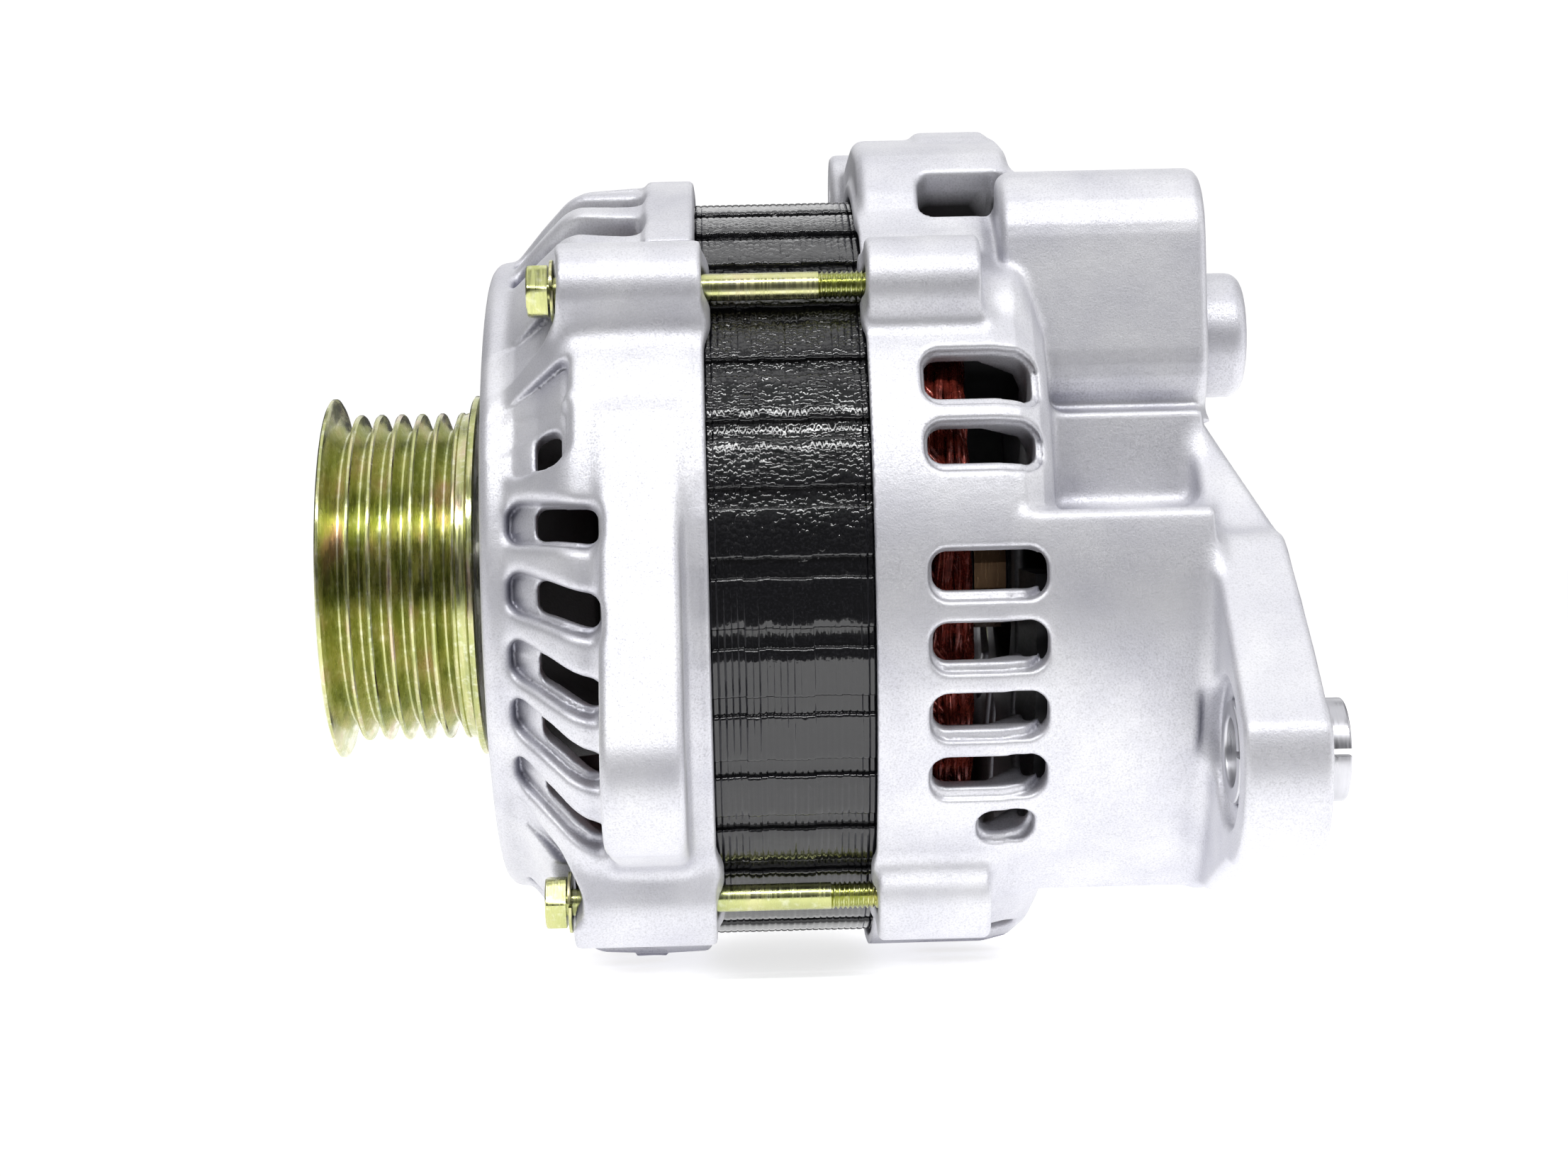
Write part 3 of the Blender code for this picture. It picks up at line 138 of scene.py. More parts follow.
# Plane geometry.
def around(radius, degrees):
    """(Y, Z) at a radius and an angle about the shaft."""
    turn = math.radians(degrees)
    return (-radius * math.cos(turn), radius * math.sin(turn))


def arc(centre, radius, start, end, steps):
    """Points (Y, Z) on an arc about a centre, from one angle to another."""
    points = []
    for step in range(steps + 1):
        y, z = around(radius, start + (end - start) * step / steps)
        points.append((centre[0] + y, centre[1] + z))
    return points


def rounded(points, radius, steps=4):
    """A closed outline with its corners rounded off."""
    made = []
    count = len(points)
    for index, corner in enumerate(points):
        corner = np.array(corner, float)
        before = np.array(points[index - 1], float) - corner
        after = np.array(points[(index + 1) % count], float) - corner
        lengths = np.hypot(*before), np.hypot(*after)
        reach = min(radius, 0.45 * lengths[0], 0.45 * lengths[1])
        start = corner + before / lengths[0] * reach
        end = corner + after / lengths[1] * reach
        for step in range(steps + 1):
            t = step / steps
            point = (1 - t) ** 2 * start + 2 * t * (1 - t) * corner + t * t * end
            made.append((float(point[0]), float(point[1])))
    return made


# Solids as distances: each gives its lowest corner, highest corner and a function of x, y and z.
def outline_distance(u, v, points):
    """Distance to a closed outline, negative inside."""
    shape = np.broadcast(u, v).shape
    nearest = np.full(shape, np.inf, np.float32)
    inside = np.zeros(shape, bool)
    for (u0, v0), (u1, v1) in zip(points, points[1:] + points[:1]):
        du, dv = u1 - u0, v1 - v0
        if du == 0 and dv == 0:
            continue
        t = np.clip(((u - u0) * du + (v - v0) * dv) / (du * du + dv * dv), 0, 1)
        nearest = np.minimum(nearest, (u - u0 - t * du) ** 2 + (v - v0 - t * dv) ** 2)
        if dv:
            inside ^= ((v0 > v) != (v1 > v)) & (u < u0 + (v - v0) * (du / dv))
    distance = np.sqrt(nearest)
    return np.where(inside, -distance, distance)


def crossed(first, second, edge):
    """The distance of what two solids share, with its edge rounded."""
    first = first + edge
    second = second + edge
    outside = np.hypot(np.maximum(first, 0), np.maximum(second, 0))
    return np.minimum(np.maximum(first, second), 0) + outside - edge


def slab(values, span):
    """The distance to the space between two planes."""
    return np.abs(values - (span[0] + span[1]) / 2) - (span[1] - span[0]) / 2


def lathed(profile, axis=(0.0, 0.0)):
    """A turned solid about a line along X, from its (X, radius) outline."""
    step = 0.25
    reach = max(radius for _, radius in profile)
    low = (min(x for x, _ in profile), axis[0] - reach, axis[1] - reach)
    high = (max(x for x, _ in profile), axis[0] + reach, axis[1] + reach)
    mirrored = [(x, radius if radius > 0 else -50.0) for x, radius in profile]

    def distance(x, y, z):
        radius = np.hypot(y - axis[0], z - axis[1])
        places = np.arange(0.0, radius.max() + 2 * step, step, dtype=np.float32)
        table = outline_distance(x.reshape(-1, 1), places[None, :], mirrored)
        index = radius / step
        below = index.astype(int)
        part = (index - below).astype(np.float32)
        first = table[:, below[0]]
        return first + (table[:, below[0] + 1] - first) * part

    return low, high, distance


def prism(outline, span, edge=0.0):
    """A (Y, Z) outline with a span along X."""
    ys, zs = zip(*outline)

    def distance(x, y, z):
        return crossed(outline_distance(y, z, outline), slab(x, span), edge)

    return (span[0], min(ys), min(zs)), (span[1], max(ys), max(zs)), distance


def cross_prism(outline, span, edge=0.0):
    """An (X, Z) outline with a span along Y."""
    xs, zs = zip(*outline)

    def distance(x, y, z):
        return crossed(outline_distance(x, z, outline), slab(y, span), edge)

    return (min(xs), span[0], min(zs)), (max(xs), span[1], max(zs)), distance


def rod(axis, radius, span, edge=0.0):
    """A rod along X."""

    def distance(x, y, z):
        return crossed(np.hypot(y - axis[0], z - axis[1]) - radius, slab(x, span), edge)

    low = (span[0], axis[0] - radius, axis[1] - radius)
    return low, (span[1], axis[0] + radius, axis[1] + radius), distance


def block(low, high, edge=0.0):
    """A box between two corners."""

    def distance(x, y, z):
        section = crossed(slab(y, (low[1], high[1])), slab(z, (low[2], high[2])), edge)
        return crossed(section, slab(x, (low[0], high[0])), edge)

    return low, high, distance


def spoke(degrees, x_span, width, radii, corner, slant=0.0, bend=1.0):
    """A round-cornered bar or slot pointing away from the shaft; slant moves its front up and its rear down."""
    turn = math.radians(degrees)
    cosine, sine = math.cos(turn), math.sin(turn)
    middle = around(sum(radii) / 2, degrees)
    reach = (radii[1] - radii[0]) / 2
    side = width / 2 + abs(slant) / 2
    room = (abs(cosine) * reach + abs(sine) * side, abs(sine) * reach + abs(cosine) * side)

    def distance(x, y, z):
        t = np.clip((x - x_span[0]) / (x_span[1] - x_span[0]), 0, 1)
        eased = t * t * (3 - 2 * t) * bend + t * (1 - bend)
        across = y * sine + z * cosine - slant * (0.5 - eased)
        u = slab(x, x_span) + corner
        v = np.abs(across) - width / 2 + corner
        section = np.minimum(np.maximum(u, v), 0) + np.hypot(np.maximum(u, 0), np.maximum(v, 0)) - corner
        return np.maximum(section, slab(-y * cosine + z * sine, radii))

    low = (x_span[0], middle[0] - room[0], middle[1] - room[1])
    return low, (x_span[1], middle[0] + room[0], middle[1] + room[1]), distance


def beyond(solid, core):
    """What is left of a solid outside another."""
    low, high, distance = solid

    def outside(x, y, z):
        return np.maximum(distance(x, y, z), -core[2](x, y, z))

    return low, high, outside


class Casting:
    """A cast shape as distances on a grid, negative in the metal."""

    def __init__(self, low, high):
        self.low = np.array(low, float) - 3 * VOXEL
        self.count = np.ceil((np.array(high) - self.low) / VOXEL).astype(int) + 4
        self.values = np.full(self.count, FAR_OFF, np.float32)
        self.outside = self.values

    def mark_outside(self):
        """Keeps the shape as it is now, so that what is cut later is known to lie inside it."""
        self.outside = self.values.copy()

    def window(self, low, high, margin):
        """The part of the grid round a box, and its x, y and z."""
        start = np.floor((np.array(low) - margin - self.low) / VOXEL).astype(int)
        end = np.ceil((np.array(high) + margin - self.low) / VOXEL).astype(int) + 1
        start = np.clip(start, 0, self.count)
        end = np.clip(end, start, self.count)
        places = [
            (self.low[k] + VOXEL * np.arange(start[k], end[k])).astype(np.float32)
            for k in range(3)
        ]
        part = tuple(slice(a, b) for a, b in zip(start, end))
        return part, places[0][:, None, None], places[1][None, :, None], places[2][None, None, :]

    def join(self, solid, blend, sign):
        """Adds a solid, or takes it away, with a fillet."""
        low, high, distance = solid
        part, x, y, z = self.window(low, high, blend + FAR_OFF)
        if 0 in self.values[part].shape:
            return
        here = self.values[part] * sign
        other = distance(x, y, z)
        merged = np.minimum(here, other)
        if blend:
            overlap = np.maximum(blend - np.abs(here - other), 0) / blend
            merged = merged - overlap * overlap * (blend / 4)
        self.values[part] = merged * sign

    def add(self, *solids, blend=0.0):
        """Adds solids, each with a fillet where it meets the rest."""
        for solid in solids:
            self.join(solid, blend, 1.0)

    def cut(self, *solids, blend=0.0):
        """Takes solids away, each with a rounded edge."""
        for solid in solids:
            self.join(solid, blend, -1.0)

    def sample(self, values, points):
        """A grid's values at points given in grid steps."""
        base = np.clip(np.floor(points).astype(int), 0, self.count - 2)
        part = points - base
        total = np.zeros(len(points))
        for corner in np.ndindex(2, 2, 2):
            weight = np.ones(len(points))
            for k in range(3):
                weight = weight * (part[:, k] if corner[k] else 1 - part[:, k])
            at = base + np.array(corner)
            total += weight * values[at[:, 0], at[:, 1], at[:, 2]]
        return total

    def mesh(self, name):
        """The skin of the casting, thinned, with normals taken from the distances."""
        grid = openvdb.FloatGrid(FAR_OFF)
        grid.copyFromArray(np.clip(self.values, -FAR_OFF, FAR_OFF))
        points, quads = grid.convertToQuads(isovalue=0.0)
        mesh = bpy.data.meshes.new(name)
        mesh.from_pydata(((points * VOXEL + self.low) * MM).tolist(), [], quads[:, ::-1].tolist())
        thin = bpy.data.objects.new(name, mesh)
        bpy.context.scene.collection.objects.link(thin)
        modifier = thin.modifiers.new("thin", "DECIMATE")
        modifier.ratio = min(1.0, CASTING_FACES / (2 * len(quads)))
        graph = bpy.context.evaluated_depsgraph_get()
        made = bpy.data.meshes.new_from_object(thin.evaluated_get(graph))
        bpy.data.objects.remove(thin)
        places = np.empty(len(made.vertices) * 3)
        made.vertices.foreach_get("co", places)
        places = (places.reshape(-1, 3) / MM - self.low) / VOXEL
        slopes = np.empty_like(places)
        for k in range(3):
            step = np.zeros(3)
            step[k] = 0.7
            slopes[:, k] = self.sample(self.values, places + step) - self.sample(self.values, places - step)
        slopes /= np.maximum(np.linalg.norm(slopes, axis=1), 1e-6)[:, None]
        if signed_volume(made) < 0:
            made.flip_normals()
        made.shade_smooth()
        made.normals_split_custom_set_from_vertices(slopes.tolist())
        # The depth under the outer shape, which the aluminium uses to paint shade inside the castings.
        depth = made.attributes.new("depth", "FLOAT", "POINT")
        depth.data.foreach_set("value", -self.sample(self.outside, places))
        made.name = name
        return made


def signed_volume(mesh):
    """Positive where a mesh's faces look outwards."""
    mesh.calc_loop_triangles()
    points = np.empty(len(mesh.vertices) * 3)
    mesh.vertices.foreach_get("co", points)
    faces = np.empty(len(mesh.loop_triangles) * 3, np.int32)
    mesh.loop_triangles.foreach_get("vertices", faces)
    a, b, c = points.reshape(-1, 3)[faces.reshape(-1, 3)].transpose(1, 0, 2)
    return float(np.einsum("ij,ij->i", a, np.cross(b, c)).sum())


# Meshes made of rings of points.
def skin(rings, closed=False):
    """Points and faces over rings of points; an open run of rings gets a face at each end."""
    rings = np.asarray(rings, float)
    rows, columns, _ = rings.shape
    row = np.arange(rows if closed else rows - 1)[:, None]
    column = np.arange(columns)[None, :]
    ahead = (row + 1) % rows
    beside = (column + 1) % columns
    here, there = row * columns, ahead * columns
    corners = [here + column, here + beside, there + beside, there + column]
    faces = np.stack(corners, -1).reshape(-1, 4).tolist()
    if not closed:
        faces.append(list(range(columns))[::-1])
        faces.append(list(range((rows - 1) * columns, rows * columns)))
    return rings.reshape(-1, 3), faces


def ring_at(x, reach, turns, axis=(0.0, 0.0)):
    """Points round a line along X, at one place, at a radius or one radius for each angle."""
    y = axis[0] - reach * np.cos(turns)
    z = axis[1] + reach * np.sin(turns)
    return np.stack([np.full_like(turns, x), y, z], -1)


def shaped(places, radius, axis=(0.0, 0.0), segments=96):
    """Rings along X whose radius is a function of x and the angle in radians."""
    turns = np.arange(segments) * 2 * math.pi / segments
    return [ring_at(x, radius(x, turns), turns, axis) for x in places]


def plain_rings(profile, axis=(0.0, 0.0), segments=96):
    """Rings at the (X, radius) points of an outline."""
    turns = np.arange(segments) * 2 * math.pi / segments
    return [ring_at(x, reach, turns, axis) for x, reach in profile]


def turned(profile, axis=(0.0, 0.0), segments=96):
    """A solid turned about a line along X from a closed (X, radius) outline."""
    return skin(plain_rings(profile, axis, segments), closed=all(radius > 0 for _, radius in profile))


def hexagonal(turns, across):
    """The radius of a hexagon with slightly rounded corners at some angles."""
    off = (turns + math.pi / 6) % (math.pi / 3) - math.pi / 6
    return np.minimum(across / 2 / np.cos(off), across / 2 * 1.135)


def hexagon(axis, across, span, bore=0.0, chamfers=(True, True), turn=0.0):
    """A hexagon head or nut with chamfered corners."""
    slope = across * 0.075
    first = [0.0, slope * 0.35, slope] if chamfers[0] else [0.0, 0.01]
    last = [slope, slope * 0.35, 0.0] if chamfers[1] else [0.01, 0.0]
    places = [span[0] + x for x in first] + [span[1] - x for x in last]

    def radius(x, turns):
        ends = []
        if chamfers[0]:
            ends.append(x - span[0])
        if chamfers[1]:
            ends.append(span[1] - x)
        limit = across / 2 * 0.97 + 1.9 * min(ends) if ends else across
        return np.minimum(hexagonal(turns + math.radians(turn), across), limit)

    rings = shaped(places, radius, axis, 72)
    if not bore:
        return skin(rings)
    inner = [(span[1], bore + 0.5), (span[1] - 0.5, bore), (span[0] + 0.5, bore), (span[0], bore + 0.5)]
    return skin(rings + plain_rings(inner, axis, 72), closed=True)


def tube(path, radius, sides=6, closed=False):
    """A round wire along a path."""
    path = np.asarray(path, float)
    ahead = np.roll(path, -1, 0) - np.roll(path, 1, 0)
    if not closed:
        ahead[0] = path[1] - path[0]
        ahead[-1] = path[-1] - path[-2]
    ahead /= np.linalg.norm(ahead, axis=1)[:, None]
    guide = np.array((1.0, 0.013, 0.021)) * np.ones_like(path)
    steep = np.abs(ahead[:, 0]) > 0.9
    guide[steep] = (0.0, 1.0, 0.03)
    first = np.cross(ahead, guide)
    first /= np.linalg.norm(first, axis=1)[:, None]
    second = np.cross(ahead, first)
    turns = np.arange(sides) * 2 * math.pi / sides
    rings = path[:, None, :] + radius * (
        first[:, None, :] * np.cos(turns)[None, :, None] + second[:, None, :] * np.sin(turns)[None, :, None]
    )
    return skin(rings, closed)


def merged(shapes):
    """Several sets of points and faces as one."""
    points, faces, count = [], [], 0
    for shape_points, shape_faces in shapes:
        points.append(shape_points)
        faces += [[index + count for index in face] for face in shape_faces]
        count += len(shape_points)
    return np.concatenate(points), faces


def piece(name, shape, finish, body, replaces=(), sharp=38.0):
    """A visible piece from points and faces in millimetres, or from a mesh, riding on a body."""
    if isinstance(shape, bpy.types.Mesh):
        mesh = shape
    else:
        mesh = bpy.data.meshes.new(name)
        mesh.from_pydata((np.asarray(shape[0]) * MM).tolist(), [], shape[1])
        edit = bmesh.new()
        edit.from_mesh(mesh)
        bmesh.ops.remove_doubles(edit, verts=edit.verts, dist=1e-7)
        bmesh.ops.recalc_face_normals(edit, faces=edit.faces)
        edit.to_mesh(mesh)
        edit.free()
        mesh.shade_smooth()
        mesh.set_sharp_from_angle(angle=math.radians(sharp))
    mesh.materials.append(finish)
    made = bpy.data.objects.new(name, mesh)
    bpy.context.scene.collection.objects.link(made)
    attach(made, body)
    if replaces:
        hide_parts(*replaces)
    return made


# Materials.
class Finish:
    """A procedural material under construction."""

    def __init__(self, name):
        self.material = bpy.data.materials.new(name)
        self.material.use_nodes = True
        self.tree = self.material.node_tree
        self.shader = self.tree.nodes["Principled BSDF"]
        self.place = self.node("ShaderNodeTexCoord").outputs["Object"]

    def node(self, kind, inputs=None, **settings):
        """A node with its settings and its inputs, by value or from another node's output."""
        made = self.tree.nodes.new(kind)
        for key, value in settings.items():
            setattr(made, key, value)
        for key, value in (inputs or {}).items():
            if isinstance(value, bpy.types.NodeSocket):
                self.tree.links.new(value, made.inputs[key])
            else:
                made.inputs[key].default_value = value
        return made

    def noise(self, size, detail=2.0, stretch=(1.0, 1.0, 1.0), roughness=0.5):
        """Noise whose blobs are about a size in millimetres."""
        scaled = self.node("ShaderNodeMapping", {"Vector": self.place, "Scale": stretch}).outputs["Vector"]
        inputs = {"Vector": scaled, "Scale": 1.0 / (size * MM), "Detail": detail, "Roughness": roughness}
        return self.node("ShaderNodeTexNoise", inputs).outputs["Fac"]

    def ramp(self, value, stops):
        """Colours or greys along a value: (place, colour) stops."""
        made = self.node("ShaderNodeValToRGB", {"Fac": value})
        elements = made.color_ramp.elements
        while len(elements) < len(stops):
            elements.new(0.5)
        for element, (place, colour) in zip(elements, stops):
            element.position = place
            if isinstance(colour, (int, float)):
                colour = (colour, colour, colour)
            element.color = (*colour, 1.0)
        return made.outputs["Color"]

    def mix(self, first, second, factor, blend="MIX"):
        """Two colours mixed."""
        made = self.node("ShaderNodeMix", {"Factor": factor}, data_type="RGBA", blend_type=blend)
        for socket, value in ((made.inputs[6], first), (made.inputs[7], second)):
            if isinstance(value, bpy.types.NodeSocket):
                self.tree.links.new(value, socket)
            else:
                socket.default_value = (*value, 1.0)
        return made.outputs[2]

    def math(self, operation, first, second=0.5):
        """One sum of values."""
        return self.node("ShaderNodeMath", {0: first, 1: second}, operation=operation).outputs[0]

    def bump(self, height, depth, strength=1.0, normal=None):
        """A bump whose full height is a depth in millimetres."""
        inputs = {"Height": height, "Distance": depth * MM, "Strength": strength}
        if normal:
            inputs["Normal"] = normal
        return self.node("ShaderNodeBump", inputs).outputs["Normal"]

    def set(self, **inputs):
        """Sets the shader's inputs, by value or from a node's output."""
        for key, value in inputs.items():
            socket = self.shader.inputs[key.replace("_", " ")]
            if isinstance(value, bpy.types.NodeSocket):
                self.tree.links.new(value, socket)
            elif isinstance(value, tuple):
                socket.default_value = (*value, 1.0)
            else:
                socket.default_value = value
        return self.material


def cast_aluminium():
    """Blasted cast aluminium: a fine bright grain over slow grey clouds, with painted shade in its crevices and
    painted shade deep inside the castings.
    """
    made = Finish("blasted_aluminium")
    grain = made.noise(0.30, 3.0, roughness=0.6)
    clouds = made.noise(11.0, 3.0)
    pores = made.noise(1.5, 2.0)
    colour = made.ramp(clouds, [(0.3, (0.66, 0.66, 0.71)), (0.7, (0.78, 0.78, 0.81))])
    speckle = made.ramp(grain, [(0.3, 0.80), (0.5, 0.94), (0.70, 1.0)])
    colour = made.mix(colour, speckle, 1.0, "MULTIPLY")
    # Painted shade: ambient occlusion darkens the colour in crevices, pockets and fillets, standing in for the
    # shade that falls there.
    painted_crevice_shade_ao = made.node("ShaderNodeAmbientOcclusion", {"Distance": 7.0 * MM}, samples=6).outputs["AO"]
    shade = made.ramp(painted_crevice_shade_ao, [(0.15, (0.34, 0.34, 0.40)), (0.85, (1.0, 1.0, 1.0))])
    colour = made.mix(colour, shade, 1.0, "MULTIPLY")
    # Painted shade: surfaces 2.8 to 5.4 mm under the outer shape fade to near black, standing in for the shade
    # inside the castings.
    depth = made.node("ShaderNodeAttribute", attribute_name="depth").outputs["Fac"]
    painted_inner_shade_range = {"Value": depth, "From Min": 2.8, "From Max": 5.4}
    inside = made.node("ShaderNodeMapRange", painted_inner_shade_range).outputs["Result"]
    colour = made.mix(colour, (0.045, 0.043, 0.045), inside)
    rough = made.ramp(grain, [(0.3, 0.62), (0.7, 0.38)])
    normal = made.bump(grain, 0.06, 0.55)
    normal = made.bump(pores, 0.10, 0.35, normal)
    return made.set(Base_Color=colour, Roughness=rough, Normal=normal, Metallic=0.72)


def yellow_chromate(name, patch, darkest, worn_share):
    """Yellow chromate plate: olive gold with a little pink, brushed round by turning."""
    made = Finish(name)
    patches = made.noise(patch, 3.0, (2.2, 0.7, 0.7))
    streaks = made.noise(0.5, 2.0, (1.0, 0.08, 0.08))
    wear = made.noise(1.1, 4.0)
    stops = [
        (0.30, (0.42, 0.46, 0.20)),
        (0.46, (0.54, 0.56, 0.24)),
        (0.58, (0.66, 0.64, 0.34)),
        (0.70, (0.70, 0.54, 0.40)),
        (0.82, (0.50, 0.58, 0.30)),
    ]
    colour = made.ramp(patches, stops)
    brushed = made.ramp(streaks, [(0.3, darkest), (0.7, 1.0)])
    colour = made.mix(colour, brushed, 1.0, "MULTIPLY")
    worn = made.math("MULTIPLY", made.ramp(wear, [(0.52, 0.0), (0.74, 1.0)]), worn_share)
    colour = made.mix(colour, (0.92, 0.92, 0.82), worn)
    rough = made.ramp(streaks, [(0.35, 0.16), (0.65, 0.34)])
    normal = made.bump(streaks, 0.02, 2.0 * (1.0 - darkest))
    return made.set(Base_Color=colour, Roughness=rough, Normal=normal, Metallic=1.0)


def varnish():
    """Black varnish over laminations: glossy, with small drops on the upper half and smoother below."""
    made = Finish("black_varnish")
    runs = made.noise(6.0, 2.0, (1.0, 0.5, 0.5))
    dust = made.noise(0.35, 2.0)
    spread = made.noise(3.0, 3.0)
    cells = {"Vector": made.place, "Scale": 1.0 / (0.85 * MM)}
    drops = made.node("ShaderNodeTexVoronoi", cells).outputs["Distance"]
    dome = made.math("SUBTRACT", 1.0, made.math("MULTIPLY", drops, drops))
    height = made.node("ShaderNodeSeparateXYZ", {"Vector": made.place}).outputs["Z"]
    rise = {"Value": height, "From Min": -8.0 * MM, "From Max": 14.0 * MM, "To Min": 0.08}
    upper = made.node("ShaderNodeMapRange", rise)
    dense = made.ramp(spread, [(0.36, 0.25), (0.6, 1.0)])
    strength = made.math("MULTIPLY", upper.outputs["Result"], dense)
    colour = made.ramp(dust, [(0.5, (0.004, 0.004, 0.005)), (0.8, (0.018, 0.018, 0.021))])
    rough = made.ramp(runs, [(0.35, 0.06), (0.7, 0.13)])
    drop = {"Height": dome, "Distance": 0.30 * MM, "Strength": strength}
    normal = made.node("ShaderNodeBump", drop).outputs["Normal"]
    normal = made.bump(runs, 0.25, 0.4, normal)
    return made.set(Base_Color=colour, Roughness=rough, Normal=normal, Coat_Weight=0.5, Coat_Roughness=0.04)


def enamel_copper():
    """Red enamelled copper wire under varnish."""
    made = Finish("enamelled_copper")
    tone = made.noise(3.0, 2.0)
    beads = made.noise(0.8, 2.0)
    stops = [(0.3, (0.08, 0.012, 0.008)), (0.6, (0.30, 0.045, 0.028)), (0.8, (0.50, 0.17, 0.11))]
    colour = made.ramp(tone, stops)
    rough = made.ramp(beads, [(0.3, 0.14), (0.7, 0.36)])
    normal = made.bump(beads, 0.12, 0.6)
    return made.set(Base_Color=colour, Roughness=rough, Normal=normal, Metallic=0.55, Coat_Weight=0.5)


def metal(name, dark, bright, roughness, brushed=(1.0, 1.0, 1.0), size=0.6, depth=0.02):
    """A machined or pressed metal with tool marks and stains."""
    made = Finish(name)
    marks = made.noise(size, 3.0, brushed)
    stains = made.noise(9.0, 3.0)
    tone = made.ramp(stains, [(0.3, dark), (0.7, bright)])
    colour = made.mix(tone, made.ramp(marks, [(0.2, 0.8), (0.7, 1.0)]), 1.0, "MULTIPLY")
    rough = made.ramp(marks, [(0.3, roughness * 0.7), (0.7, roughness * 1.35)])
    return made.set(Base_Color=colour, Roughness=rough, Normal=made.bump(marks, depth, 0.6), Metallic=1.0)


def moulding(name, dark, light, roughness):
    """A moulded plastic with a fine spark-eroded grain."""
    made = Finish(name)
    grain = made.noise(0.35, 2.0)
    clouds = made.noise(8.0, 2.0)
    colour = made.ramp(clouds, [(0.3, dark), (0.7, light)])
    rough = made.ramp(grain, [(0.3, roughness * 0.8), (0.7, roughness * 1.2)])
    return made.set(Base_Color=colour, Roughness=rough, Normal=made.bump(grain, 0.03, 0.6))


ALUMINIUM = cast_aluminium()
CHROMATE = yellow_chromate("yellow_chromate_plate", 6.0, 0.72, 0.42)
BOLT_CHROMATE = yellow_chromate("bolt_chromate_plate", 25.0, 0.96, 0.30)
VARNISH = varnish()
COPPER = enamel_copper()
TURNED = (1.0, 0.1, 0.1)
GROUND = (1.0, 0.08, 0.08)
STEEL = metal("turned_steel", (0.36, 0.36, 0.37), (0.55, 0.55, 0.56), 0.30, TURNED)
BEARING_STEEL = metal("bearing_steel_ground", (0.60, 0.60, 0.62), (0.74, 0.74, 0.76), 0.16, GROUND, 0.4, 0.008)
SHEET_STEEL = metal("pressed_steel", (0.16, 0.17, 0.18), (0.30, 0.31, 0.33), 0.38)
SINTERED = metal("bush_steel_ground", (0.46, 0.46, 0.49), (0.62, 0.62, 0.65), 0.34, TURNED)
POLE_STEEL = metal("forged_steel", (0.10, 0.10, 0.105), (0.24, 0.24, 0.25), 0.42)
POLISHED = (1.0, 0.06, 0.06)
RING_BRASS = metal("slip_ring_metal", (0.16, 0.09, 0.05), (0.26, 0.16, 0.09), 0.34, POLISHED, 0.3, 0.01)
SINK_ALUMINIUM = metal("heat_sink_aluminium", (0.62, 0.62, 0.64), (0.78, 0.78, 0.80), 0.36)
BLACK_PLASTIC = moulding("black_moulding", (0.016, 0.016, 0.018), (0.032, 0.032, 0.034), 0.45)
PALE_PLASTIC = moulding("pale_moulding", (0.50, 0.44, 0.33), (0.66, 0.60, 0.48), 0.5)
CARBON = moulding("graphite", (0.03, 0.03, 0.032), (0.09, 0.09, 0.095), 0.55)


